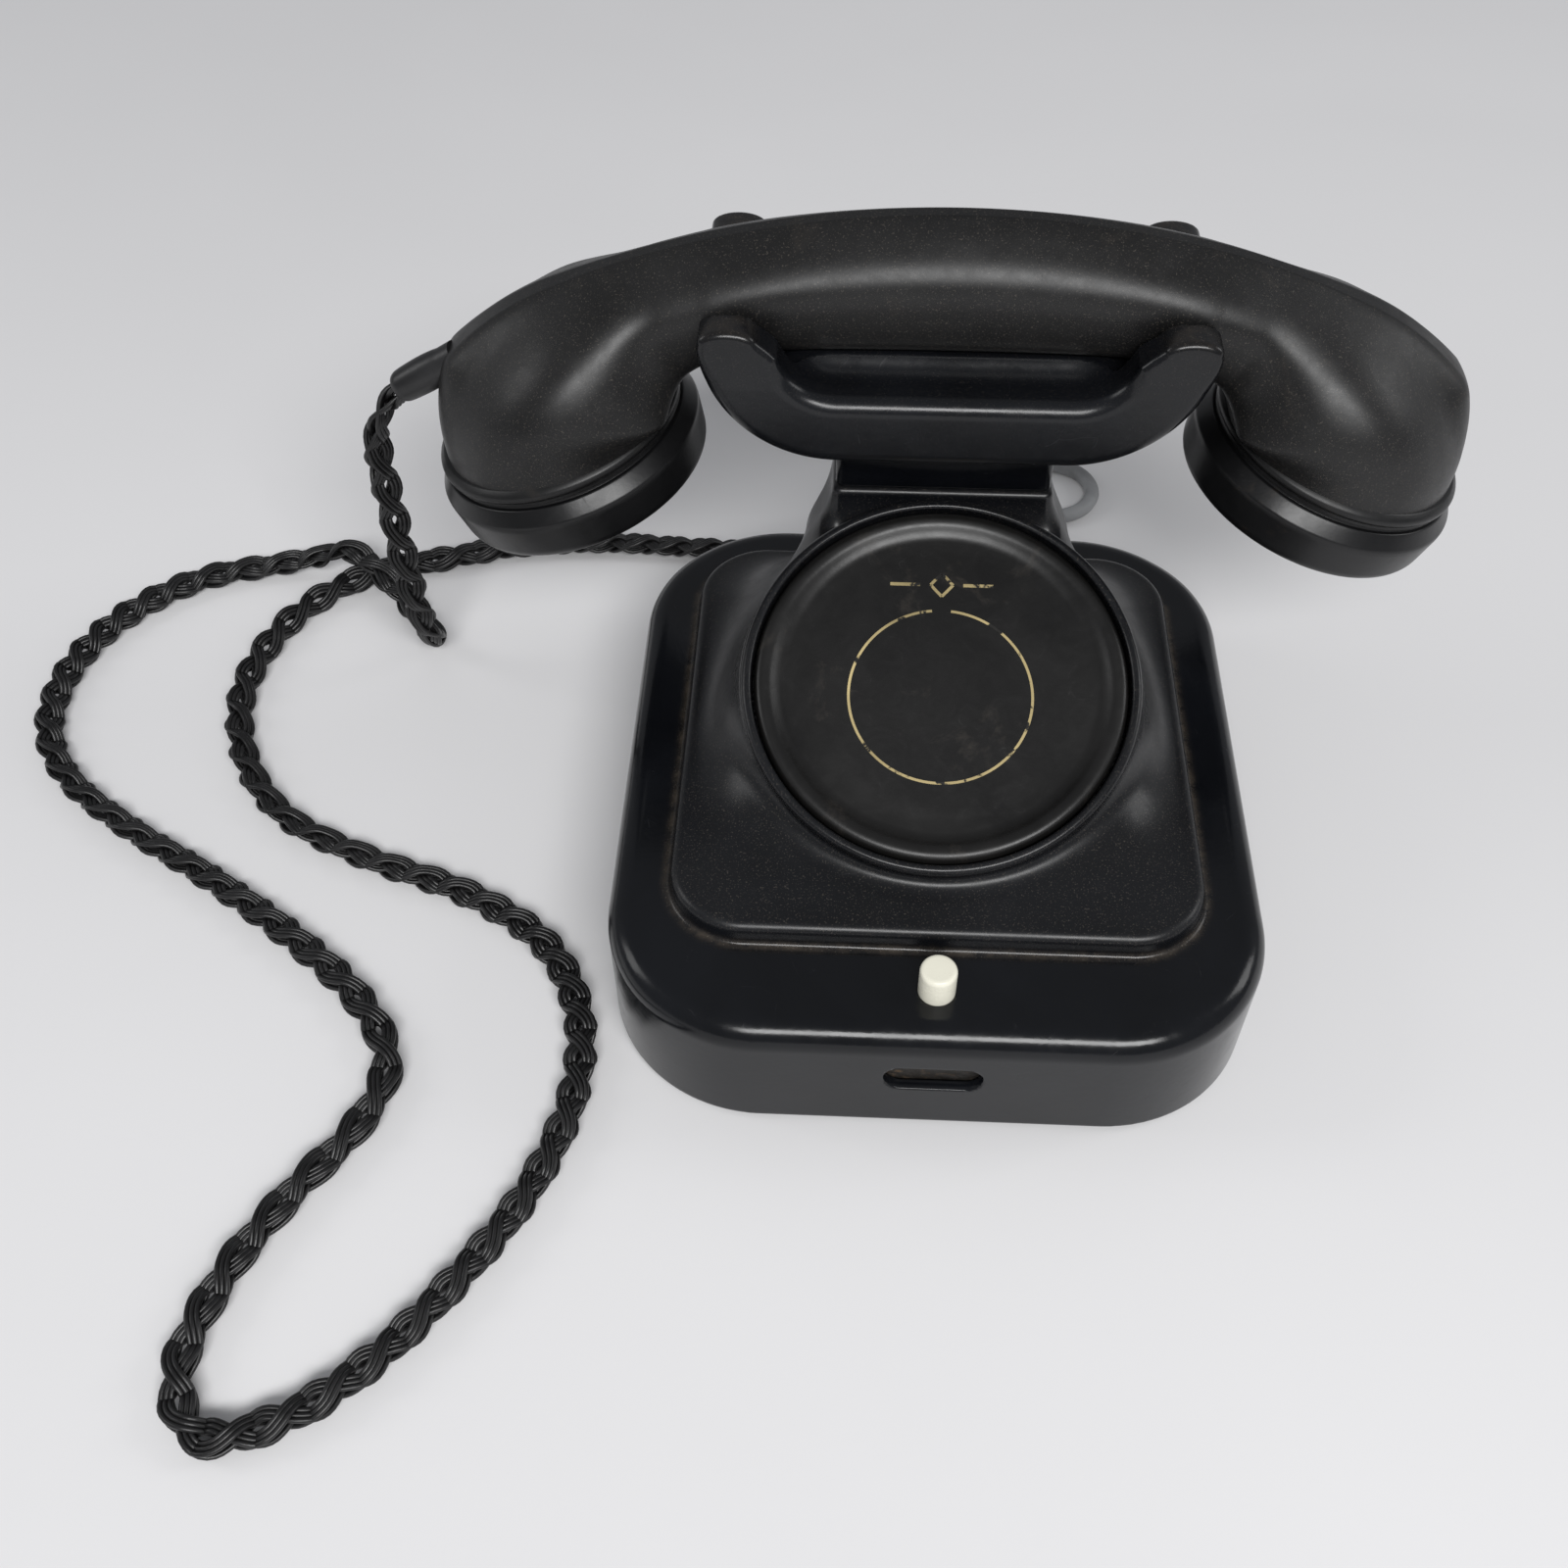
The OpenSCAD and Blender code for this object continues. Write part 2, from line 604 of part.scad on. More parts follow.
// Half section of the handle in (height fraction, half width): narrow back, sloping flanks, rounded belly
handle_half = [[1, 0], [1, 0.11], [0.972, 0.22], [0.9, 0.46], [0.79, 0.76], [0.67, 0.94], [0.54, 1],
    [0.4, 0.985], [0.24, 0.93], [0.1, 0.84], [0.02, 0.7], [0, 0.5], [0, 0]];

function section(w_half, fill) = [for (i = [0 : 12]) let (h = handle_half[i], a = 90 - 15 * i,
        c = [0.5 + 0.5 * sin(a), cos(a)])
    [mix(h[0], c[0], fill), w_half * mix(h[1], c[1], fill)]];

// One ring of the handset: base point, direction up the section, its two reaches, half width, roundness
function handset_ring(o, d, r0, r1, w_half, fill) = let (s = section(w_half, fill))
    concat([for (i = [0 : 12]) [o[0] + d[0] * mix(r0, r1, s[i][0]), s[i][1], o[1] + d[1] * mix(r0, r1, s[i][0])]],
        [for (i = [11 : -1 : 1]) [o[0] + d[0] * mix(r0, r1, s[i][0]), -s[i][1], o[1] + d[1] * mix(r0, r1, s[i][0])]]);

function bend_rings() = [for (k = [0 : 9]) let (a = -cup_tilt + (90 + cup_tilt) * k / 9, s = k / 9,
        w = mix(cup_r, 15, ease((s - 0.2) / 0.62)))
    handset_ring([fan_x, fan_z], [cos(a), sin(a)], inner_reach(a), outer_reach(a), w, 1 - ease(s / 0.36))];

function arch_rings() = [for (x = [50, 40, 26, 13, 0]) let (low = mix(handle_low, fan_z + inner_reach(90), pow(x / fan_x, 6)))
    handset_ring([x, 0], [0, 1], low, back_z(x), 13.9 + 1.3 * pow(x / fan_x, 2), 0)];

function flip(rings) = [for (i = [len(rings) - 1 : -1 : 0]) [for (p = rings[i]) [-p[0], p[1], p[2]]]];

module handset_form() {
    half = concat(bend_rings(), arch_rings());
    translate([0, cradle_y, 0]) skin(concat(half, flip([for (i = [0 : len(half) - 2]) half[i]])));
}

// The frame of a cup: origin in the middle of the cap's widest edge, +Z out through the cap
module on_cup(s) translate([s * cup_x, cradle_y, cup_z]) rotate([0, 180 + s * cup_tilt, 0]) children();

module handset_handle() {
    color(black) difference() {
        union() {
            handset_form();
            for (s = [-1, 1]) on_cup(s) translate([0, 0, -9]) cylinder(h = 4.8, r = rim_r, $fn = 64);
        }
        for (s = [-1, 1]) on_cup(s) {
            translate([0, 0, -4.2]) cylinder(h = 12, r = 40);
            translate([0, 0, -17]) cylinder(h = 15, r = 25.6, $fn = 64);
        }
        on_boot() translate([0, 0, -4]) cylinder(h = 12, r = 4.45);
        translate([-100, cradle_y, 99]) rotate([0, -72, 0]) cylinder(h = 16, r = 2);
    }
}

module cap(s, holes_r, holes_n, hole_r) {
    color(black) on_cup(s) difference() {
        rotate_extrude($fn = 96) polygon([[23.6, -12], [25.4, -12], [25.4, -4.1], [30.6, -4.1], [cap_r, 0],
            [cap_end_r + 0.5, 8.6], [cap_end_r - 0.6, 10.3], [27, 10.3], [20, 8.8], [0, 8.2],
            [0, 5.8], [23.6, 5.8]]);
        for (i = [0 : holes_n - 1]) rotate(360 * i / holes_n) translate([holes_r, 0, 4]) cylinder(h = 8, r = hole_r);
        translate([0, 0, 4]) cylinder(h = 8, r = hole_r);
    }
}

module transmitter_cap() cap(-1, 9, 8, 1.6);
module receiver_cap() cap(1, 7.5, 6, 2);

module capsule(s, mid_r) {
    color([0.7, 0.7, 0.68]) on_cup(s) rotate_extrude($fn = 64) polygon([[0, -9], [mid_r, -9], [mid_r, -6], [22.8, -6],
        [22.8, 2], [21, 3.4], [0, 3.4]]);
}

module transmitter_capsule() capsule(-1, 12);
module receiver_capsule() capsule(1, 17);

// Spring contacts in the bottom of a cup
module cup_contacts(s) {
    on_cup(s) {
        color(brown) translate([-14, -6, -16.8]) cube([28, 12, 3]);
        for (x = [-8, 8]) color(brass) {
            translate([x - 2, -4, -13.8]) cube([4, 8, 0.6]);
            translate([x - 2, 3.2, -13.8]) cube([4, 0.8, 4.2]);
            translate([x - 2, -4, -10.2]) cube([4, 8, 0.6]);
        }
    }
}

module transmitter_contacts() cup_contacts(-1);
module receiver_contacts() cup_contacts(1);

// ---- handset cord ----

boot_out = [-118.2, 103.6];   // where the boot leaves the handset, x and z
boot_dip = 31;              // its slope downwards, degrees
boot_len = 14;

// The frame of the boot: origin where it leaves the handset, +Z towards the cord
module on_boot() translate([boot_out[0], cradle_y, boot_out[1]]) rotate([0, -90 - boot_dip, 0]) children();

module handset_boot() {
    color([0.06, 0.06, 0.06]) on_boot() rotate_extrude()
        polygon([[0, -3.9], [4.4, -3.9], [4.4, 2], [4.4, 8], [4.1, 12], [braid_d / 2, boot_len], [0, boot_len]]);
}

braid_r = braid_d / 2;
hang_x = -138.5;
boot_tip = [boot_out[0] - boot_len * cos(boot_dip), cradle_y, boot_out[1] - boot_len * sin(boot_dip)];

// Route of the handset cord from the boot's tip to the gland, millimetres
braid_route = concat([boot_tip], [
    [-134, 54.5, 90.4], [-137.6, 54.5, 84], [hang_x, 54.8, 74], [hang_x, 55, 58], [hang_x, 55, 42], [-138, 55.4, 26],
    [-137.4, 58, 13], [-138.6, 64.5, 5], [-145, 74, 3.8], [-155, 84.5, 6.5], [-166, 91.5, 11.5], [-178, 94.4, 6.5],
    [-192, 93.5, 3.8], [-208, 88.5, 3.8], [-222, 79, 3.8], [-233.5, 64, 3.8], [-239, 45, 3.8], [-236.5, 25, 3.8],
    [-225, 8, 3.8], [-205, -7, 3.8], [-180, -22, 3.8], [-155, -39, 3.8], [-135, -56, 3.8], [-124.5, -73, 3.8],
    [-128, -90, 3.8], [-139, -107, 3.8], [-148.5, -126, 3.8], [-152.5, -146, 3.8], [-145, -159, 3.8],
    [-129, -155, 3.8], [-113, -142, 3.8], [-99, -124, 3.8], [-87, -103, 3.8], [-80.5, -80, 3.8], [-82, -58, 3.8],
    [-93, -38.5, 3.8], [-114, -24.5, 3.8], [-142, -14, 3.8], [-165, -2, 3.8], [-180, 16, 3.8], [-187.5, 38, 3.8],
    [-186, 58, 3.8], [-178, 76, 3.8], [-163, 90.5, 3.8], [-143, 98, 3.8], [-120, 105, 3.8], [-95, 107.5, 3.8],
    [-70, 106.5, 3.8], [-52, 105.5, 4.2], [-39, 103.5, 6.5], [-31.5, 97.5, 10.6], [cord_exit_x, 89, gland_z]]);

function cross3(a, b) = [a[1] * b[2] - a[2] * b[1], a[2] * b[0] - a[0] * b[2], a[0] * b[1] - a[1] * b[0]];
function unit(v) = v / norm(v);

// Tube of n sides along a route; the first and last rings face the given directions
module tube(route, r, n, start, end) {
    k = len(route);
    rings = [for (i = [0 : k - 1])
        let (t = i == 0 ? start : i == k - 1 ? end : unit(unit(route[i + 1] - route[i]) + unit(route[i] - route[i - 1])),
            side = unit(cross3(t, abs(t[2]) > 0.8 ? [0.02, -1, 0] : [0, 0, 1])), up = cross3(side, t))
        [for (j = [0 : n - 1]) let (a = 360 * j / n + 180 / n) route[i] + r * (cos(a) * side + sin(a) * up)]];
    skin([for (g = rings) [for (j = [n - 1 : -1 : 0]) g[j]]]);
}

module handset_cord() {
    color([0.05, 0.05, 0.05]) tube(braid_route, braid_r, 8, [-cos(boot_dip), 0, -sin(boot_dip)], [0, -1, 0]);
}

// Tapered sleeve through the back wall
module gland(x, cord_r, length, r_out) {
    color(black) translate([x, base_d / 2, gland_z]) rotate([-90, 0, 0]) rotate_extrude() polygon([
        [0, -wall - 1.6], [r_out + 1.8, -wall - 1.6], [r_out + 1.8, -wall], [4.95, -wall], [4.95, 0], [r_out + 1.2, 0],
        [r_out + 1.2, 1.5], [r_out, 1.5], [cord_r + 0.6, length], [0, length]]);
}

module handset_gland() gland(cord_exit_x, braid_r, 7, 5.2);
module line_gland() gland(line_exit_x, line_d / 2, 20, 4.6);

module cord_clamps() {
    color(steel) for (x = [cord_exit_x, line_exit_x]) difference() {
        translate([x - 9, 71, deck_z]) cube([18, 5, 6]);
        translate([x - 5, 70, deck_z - 1]) cube([10, 7, 5.6]);
        for (s = [-1, 1]) translate([x + s * 7, 73.5, deck_z - 1]) cylinder(h = 9, r = 1.1);
    }
}

// ---- line cord, coiled behind the telephone, with its plug ----

line_r = line_d / 2;
coil_at = [6, 186];
coil_mid_r = 25;
coil_w = 4 * line_d;
coil_h = 3 * line_d;
line_route = [[line_exit_x, base_d / 2 + 20, gland_z], [line_exit_x + 0.5, 110, 9], [22, 118, 4.4], [30, 123, 2.3],
    [40, 125.5, 2.3], [48.5, 129.5, 2.3], [52.6, 137.5, 2.3], [50, 146, 2.3], [42, 151, 2.3],
    [32, 151.5, 2.3], [22, 152.7, 2.3], [13, 153.9, 2.3], [6, 154.2, 2.3]];
tail_route = [[-25.7, 186, 2.3], [-26.6, 177.5, 2.3], [-30, 170.5, 2.3], [-36, 167.5, 2.3], [-42, 170.5, 2.6],
    [-45.8, 177, 5.6], [-47, 184, 9], [-47, 188, 9]];

module line_cord() {
    color([0.5, 0.5, 0.52]) {
        tube(line_route, line_r, 8, [0, 1, 0], [-1, 0, 0]);
        tube(tail_route, line_r, 8, [0, -1, 0], [0, 1, 0]);
    }
}

module line_cord_coil() {
    color([0.5, 0.5, 0.52]) translate([coil_at[0], coil_at[1], 0]) rotate_extrude($fn = 72)
        translate([coil_mid_r - coil_w / 2, 0]) union() {
            translate([line_r, 0]) square([coil_w - line_d, coil_h]);
            translate([0, line_r]) square([coil_w, coil_h - line_d]);
            for (x = [line_r, coil_w - line_r], y = [line_r, coil_h - line_r]) translate([x, y]) circle(r = line_r, $fn = 24);
        }
}

module cord_tie() {
    color([0.1, 0.1, 0.1]) translate([coil_at[0] + coil_mid_r, coil_at[1], 0]) difference() {
        translate([-coil_w / 2 - 1.5, -3, 0]) cube([coil_w + 3, 6, coil_h + 1.2]);
        translate([-coil_w / 2 - 0.5, -4, -1]) cube([coil_w + 1, 8, coil_h + 1.2]);
    }
}

plug_at = [-47, 206];
plug_split = 9;

// Outline of the plug seen from above, narrowing to the cord's end
module plug_plan(t) {
    polygon([[-11 + t, -16 + t], [-5.5 + t, -22 + t], [5.5 - t, -22 + t], [11 - t, -16 + t], [11 - t, 13 - t],
        [-11 + t, 13 - t]]);
}

module plug_body() {
    color([0.5, 0.5, 0.52]) translate([plug_at[0], plug_at[1], 0]) difference() {
        linear_extrude(plug_split) plug_plan(0);
        translate([0, 0, 2]) linear_extrude(plug_split) plug_plan(2);
        for (s = [-1, 1]) translate([s * 6 - 1.5, 9, 4]) cube([3, 8, 6]);
        translate([0, -25, plug_split]) rotate([-90, 0, 0]) cylinder(h = 10, r = line_r + 0.1);
    }
}

module plug_cover() {
    color([0.46, 0.46, 0.48]) translate([plug_at[0], plug_at[1], plug_split]) difference() {
        linear_extrude(8) plug_plan(0);
        translate([0, 0, -1]) linear_extrude(7) plug_plan(2);
        translate([0, -25, 0]) rotate([-90, 0, 0]) cylinder(h = 10, r = line_r + 0.1);
        translate([0, 0, 5]) cylinder(h = 4, r = 1.4);
    }
}

module plug_pins() {
    color(brass) translate([plug_at[0], plug_at[1], 4]) for (s = [-1, 1]) translate([s * 6 - 1.4, 0, 0]) {
        cube([2.8, 24, 5]);
        translate([-0.8, 1, 0]) cube([4.4, 7, 5]);
    }
}

housing();
blank_plate();
plate_clamp_ring();
plate_screws();
slot_cover();
button_bush();
push_button();
button_spring();
button_contacts();
base_plate();
rubber_feet();
base_screws();
ringer_frame();
ringer_coils();
gong_left();
gong_right();
gong_screws();
armature();
armature_pin();
clapper_ball();
induction_coil();
capacitor();
capacitor_strap();
terminal_block();
terminal_screws();
hook_bracket();
hook_lever();
lever_pin();
hook_contacts();
cradle();
plunger_sleeve();
plunger_rod();
plunger_spring();
cradle_screws();
handset_handle();
transmitter_cap();
receiver_cap();
transmitter_capsule();
receiver_capsule();
transmitter_contacts();
receiver_contacts();
handset_boot();
handset_cord();
handset_gland();
cord_clamps();
line_gland();
line_cord();
line_cord_coil();
cord_tie();
plug_body();
plug_cover();
plug_pins();
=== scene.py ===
import json
import math

import bpy
import numpy as np
from mathutils import Matrix, Vector


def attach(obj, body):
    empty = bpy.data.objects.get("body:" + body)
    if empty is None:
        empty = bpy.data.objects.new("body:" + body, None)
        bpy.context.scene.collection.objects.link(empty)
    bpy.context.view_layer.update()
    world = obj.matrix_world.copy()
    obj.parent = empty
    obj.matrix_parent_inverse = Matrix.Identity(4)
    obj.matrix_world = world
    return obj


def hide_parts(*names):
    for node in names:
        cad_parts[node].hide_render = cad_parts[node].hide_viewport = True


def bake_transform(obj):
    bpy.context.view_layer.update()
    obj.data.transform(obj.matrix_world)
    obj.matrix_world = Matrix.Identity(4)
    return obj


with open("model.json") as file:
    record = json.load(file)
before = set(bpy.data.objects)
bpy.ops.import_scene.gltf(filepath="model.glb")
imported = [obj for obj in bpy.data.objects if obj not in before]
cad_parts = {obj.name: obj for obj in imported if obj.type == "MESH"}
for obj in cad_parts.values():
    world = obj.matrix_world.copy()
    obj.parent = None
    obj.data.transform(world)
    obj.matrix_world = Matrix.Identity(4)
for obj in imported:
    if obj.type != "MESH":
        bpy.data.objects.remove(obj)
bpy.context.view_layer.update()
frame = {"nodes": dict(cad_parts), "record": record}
scene = bpy.context.scene
MM = 0.001
MIDDLE_Y = 54.5  # where the cradle and the handset are centred, front to back


# ---- meshes
def new_object(name, verts, faces, normals=None, smooth=True):
    """A mesh object from points in millimetres."""
    mesh = bpy.data.meshes.new(name)
    verts = np.asarray(verts, float) * MM
    mesh.from_pydata(verts.tolist(), [], [list(map(int, f)) for f in faces])
    mesh.update()
    mesh.polygons.foreach_set("use_smooth", [smooth] * len(mesh.polygons))
    if normals is not None:
        mesh.normals_split_custom_set_from_vertices(np.asarray(normals, float).tolist())
    obj = bpy.data.objects.new(name, mesh)
    scene.collection.objects.link(obj)
    return obj


def loft(rings, closed_ends=True):
    """Quads through rings of equal length, fans at the ends."""
    rings = [np.asarray(r, float) for r in rings]
    m, k = len(rings[0]), len(rings)
    verts = np.concatenate(rings)
    a = np.arange(k - 1)[:, None] * m + np.arange(m)[None, :]
    b = np.arange(k - 1)[:, None] * m + (np.arange(m)[None, :] + 1) % m
    faces = np.stack([a, b, b + m, a + m], -1).reshape(-1, 4).tolist()
    if closed_ends:
        verts = np.concatenate([verts, [rings[0].mean(0), rings[-1].mean(0)]])
        faces += [[k * m, (j + 1) % m, j] for j in range(m)]
        faces += [[k * m + 1, (k - 1) * m + j, (k - 1) * m + (j + 1) % m] for j in range(m)]
    return verts, faces


def round_profile(points, steps=4):
    """An (r, z) outline whose third numbers are corner radii, as a smooth list of (r, z)."""
    out = []
    for i, p in enumerate(points):
        here = np.array(p[:2], float)
        radius = p[2] if len(p) > 2 else 0
        if radius <= 0 or i in (0, len(points) - 1):
            out.append(here)
            continue
        before, after = np.array(points[i - 1][:2], float), np.array(points[i + 1][:2], float)
        da, db = before - here, after - here
        la, lb = np.linalg.norm(da), np.linalg.norm(db)
        cut = min(radius, 0.49 * la, 0.49 * lb)
        pa, pb = here + da / la * cut, here + db / lb * cut
        for t in np.linspace(0, 1, steps + 1):
            out.append((1 - t) ** 2 * pa + 2 * t * (1 - t) * here + t * t * pb)
    return np.array(out)


def revolve(name, points, segments=96, matrix=None, steps=4):
    """A turned piece from an (r, z, corner radius) outline, placed by a 4 x 3 row matrix."""
    prof = round_profile(points, steps)
    prof[:, 0] = np.maximum(prof[:, 0], 1e-3)
    turn = np.linspace(0, 2 * math.pi, segments, endpoint=False)
    rings = [np.c_[r * np.cos(turn), r * np.sin(turn), np.full(segments, z)] for r, z in prof]
    verts, faces = loft(rings, closed_ends=False)
    if matrix is not None:
        verts = verts @ matrix[:3] + matrix[3]
    obj = new_object(name, verts, faces)
    mark_sharp(obj, 38)
    return obj


def mark_sharp(obj, degrees):
    """Edges steeper than the angle stay crisp."""
    mesh = obj.data
    normals = np.zeros(len(mesh.polygons) * 3)
    mesh.polygons.foreach_get("normal", normals)
    normals = normals.reshape(-1, 3)
    seen, sharp = {}, set()
    limit = math.cos(math.radians(degrees))
    for poly in mesh.polygons:
        for key in poly.edge_keys:
            if key in seen:
                if float(normals[seen[key]] @ normals[poly.index]) < limit:
                    sharp.add(key)
            else:
                seen[key] = poly.index
    for edge in mesh.edges:
        if edge.key in sharp:
            edge.use_edge_sharp = True


def rows(origin, x, y, z):
    """A row matrix from an origin and three axes."""
    return np.array([x, y, z, origin], float)


def catmull(points, step):
    """A smooth line through the points, resampled evenly."""
    p = np.asarray(points, float)
    p = np.vstack([2 * p[0] - p[1], p, 2 * p[-1] - p[-2]])
    out = []
    for i in range(1, len(p) - 2):
        a, b, c, d = p[i - 1 : i + 3]
        t = np.linspace(0, 1, 24, endpoint=False)[:, None]
        out.append(0.5 * (2 * b + (c - a) * t + (2 * a - 5 * b + 4 * c - d) * t**2
                          + (3 * b - a - 3 * c + d) * t**3))
    out = np.vstack(out + [p[-2:-1]])
    run = np.r_[0, np.cumsum(np.linalg.norm(np.diff(out, axis=0), axis=1))]
    at = np.linspace(0, run[-1], max(2, int(round(run[-1] / step)) + 1))
    return np.c_[[np.interp(at, run, out[:, k]) for k in range(3)]].T


def frames_along(line):
    """Tangents and two turning-free side vectors along a line."""
    tangent = np.gradient(line, axis=0)
    tangent /= np.linalg.norm(tangent, axis=1)[:, None]
    side = np.cross(tangent[0], [0.0, -1.0, 0.02] if abs(tangent[0][2]) > 0.7 else [0.0, 0.0, 1.0])
    side /= np.linalg.norm(side)
    sides = [side]
    for t in tangent[1:]:
        side = side - t * float(side @ t)
        side /= np.linalg.norm(side)
        sides.append(side)
    sides = np.array(sides)
    return tangent, sides, np.cross(tangent, sides)


def tube_arrays(line, radius, sides):
    """Vertices and faces of a round tube along a line."""
    tangent, u, v = frames_along(line)
    turn = np.linspace(0, 2 * math.pi, sides, endpoint=False)
    radius = np.broadcast_to(radius, (len(line),))
    ring = u[:, None, :] * np.cos(turn)[None, :, None] + v[:, None, :] * np.sin(turn)[None, :, None]
    return loft(list(line[:, None, :] + ring * radius[:, None, None]))


def join_arrays(parts):
    """Several lists of vertices and faces as one."""
    verts, faces, n = [], [], 0
    for v, f in parts:
        verts.append(v)
        faces += [[i + n for i in q] for q in f]
        n += len(v)
    return np.vstack(verts), faces


# ---- camera
CAMERA_PLACE = (-0.0222, -0.2686, 0.3368)  # metres
CAMERA_PITCH, CAMERA_YAW, CAMERA_ROLL = 49.6, -2.98, -0.45  # degrees: down, right, lean of the picture
SENSOR_WIDTH, LENS = 36, 38.25


def aim_camera():
    """The camera of the photograph, as the outline's fit gives it."""
    data = bpy.data.cameras.new("camera")
    data.sensor_width = SENSOR_WIDTH
    data.lens = LENS
    data.clip_start = 0.01
    cam = bpy.data.objects.new("camera", data)
    pitch, yaw, roll = (math.radians(a) for a in (CAMERA_PITCH, CAMERA_YAW, CAMERA_ROLL))
    forward = Vector((math.sin(yaw) * math.cos(pitch), math.cos(yaw) * math.cos(pitch), -math.sin(pitch)))
    level = Vector((math.cos(yaw), -math.sin(yaw), 0))
    upright = level.cross(forward)
    right = level * math.cos(roll) + upright * math.sin(roll)
    up = upright * math.cos(roll) - level * math.sin(roll)
    turn = Matrix((right, up, -forward)).transposed()
    cam.matrix_world = Matrix.Translation(CAMERA_PLACE) @ turn.to_4x4()
    scene.collection.objects.link(cam)
    scene.camera = cam


aim_camera()

# ---- cords
LINE_D = 4.5
# From the boot down to the table, round two loops and into the gland at the back.
braid_points = [
    (-117, 54.5, 103.6), (-123.5, 54.5, 100.6), (-129.6, 54.5, 96.6), (-134, 54.6, 91.4),
    (-137.6, 54.5, 84), (-138.5, 54.8, 74), (-138.5, 55, 58), (-138.5, 55, 42), (-138, 55.4, 26),
    (-137.4, 58, 13), (-138.6, 64.5, 5), (-145, 74, 3.5), (-155, 84.5, 6.5), (-166, 91.5, 11.5),
    (-178, 94.4, 6.5), (-192, 93.5, 3.5), (-208, 88.5, 3.5), (-222, 79, 3.5), (-233.5, 64, 3.5),
    (-239, 45, 3.5), (-236.5, 25, 3.5), (-225, 8, 3.5), (-205, -7, 3.5), (-180, -22, 3.5), (-155, -39, 3.5),
    (-135, -56, 3.5), (-124.5, -73, 3.5), (-128, -90, 3.5), (-139, -107, 3.5), (-148.5, -126, 3.5),
    (-152.5, -146, 3.5), (-145, -159, 3.5), (-129, -155, 3.5), (-113, -142, 3.5), (-99, -124, 3.5),
    (-87, -103, 3.5), (-80.5, -80, 3.5), (-82, -58, 3.5), (-93, -38.5, 3.5), (-114, -24.5, 3.5),
    (-142, -14, 3.5), (-165, -2, 3.5), (-180, 16, 3.5), (-187.5, 38, 3.5), (-186, 58, 3.5), (-178, 76, 3.5),
    (-163, 90.5, 3.5), (-143, 98, 3.5), (-120, 105, 3.5), (-95, 107.5, 3.5), (-70, 106.5, 3.5),
    (-52, 105.5, 4.2), (-39, 103.5, 6.5), (-31.5, 97.5, 10.6), (-30, 89, 14), (-30, 84, 14),
]
PLAIT_PERIOD = 21  # length in which a strand winds once round the plait
PLAIT_WIRE = 0.61  # radius of one wire
PLAIT_REACH = 2.3  # how far a strand swings to the side
PLAIT_RISE = 1.5  # how far it swings up and down
PLAIT_NEST = 0.66  # where the two ways cross, one lies this much farther in and the other farther out
PLAIT_EDGE = 0.68  # half the gap between the two ways where they turn at the sides
WIRE_GAP = 1.75  # from one wire of a strand to the next, in radii


def plait_axes(line, run):
    """Side and upward vectors of the plait, level where it lies down, with a slow twist."""
    tangent = np.gradient(line, axis=0)
    tangent /= np.linalg.norm(tangent, axis=1)[:, None]
    level = np.hypot(tangent[:, 0], tangent[:, 1])
    flat = level > 0.45
    heading = np.interp(run, run[flat], np.unwrap(np.arctan2(tangent[flat, 1], tangent[flat, 0])))
    side = np.c_[-np.sin(heading), np.cos(heading), np.zeros(len(run))]
    side -= tangent * (side * tangent).sum(1)[:, None]
    side /= np.linalg.norm(side, axis=1)[:, None]
    over = np.cross(tangent, side)
    twist = 0.34 * np.sin(run / 57) + 0.30 * np.sin(run / 131 + 2)
    u = side * np.cos(twist)[:, None] + over * np.sin(twist)[:, None]
    v = over * np.cos(twist)[:, None] - side * np.sin(twist)[:, None]
    return u, v


def plait(line):
    """Four strands of three wires each, two wound one way and two the other, flattened as they lie."""
    run = np.r_[0, np.cumsum(np.linalg.norm(np.diff(line, axis=0), axis=1))]
    u, v = plait_axes(line, run)
    stretch = 1 + 0.13 * np.sin(run / 61) + 0.08 * np.sin(run / 23 + 1)
    phase = np.r_[0, np.cumsum(np.diff(run) / stretch[1:])] * 2 * math.pi / PLAIT_PERIOD
    tight = 1 - 0.3 * np.clip(1 - run / 16, 0, 1)
    across = np.sin(phase) ** 2
    parts = []
    for way in (1, -1):
        for k in (0, 1):
            angle = way * phase + k * math.pi
            a = PLAIT_REACH * np.cos(angle)
            b = (PLAIT_RISE - way * PLAIT_NEST * across) * np.sin(angle)
            b = b + way * PLAIT_EDGE * (1 - across) * np.cos(angle)
            middle = line + u * (a * tight)[:, None] + v * (b * tight)[:, None]
            along = np.gradient(middle, axis=0)
            along /= np.linalg.norm(along, axis=1)[:, None]
            beside = np.cross(along, v)
            beside /= np.linalg.norm(beside, axis=1)[:, None]
            for offset in (-WIRE_GAP, 0, WIRE_GAP):
                wire_line = middle + beside * (offset * PLAIT_WIRE * tight)[:, None]
                parts.append(tube_arrays(wire_line, PLAIT_WIRE * tight, 8))
    return join_arrays(parts)


braid_line = catmull(braid_points, 1.0)
verts, faces = plait(braid_line)
handset_cord = new_object("handset_cord_plait", verts, faces)
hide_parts("handset_cord")


COIL_MIDDLE = (6.0, 186.0)
COIL_RADII = [31.75, 27.25, 22.75, 18.25, 20.5, 25.0, 29.5, 27.25, 22.75, 18.25]
COIL_HEIGHTS = [2.25] * 4 + [6.2] * 3 + [10.1] * 3
STEPS_PER_TURN = 36


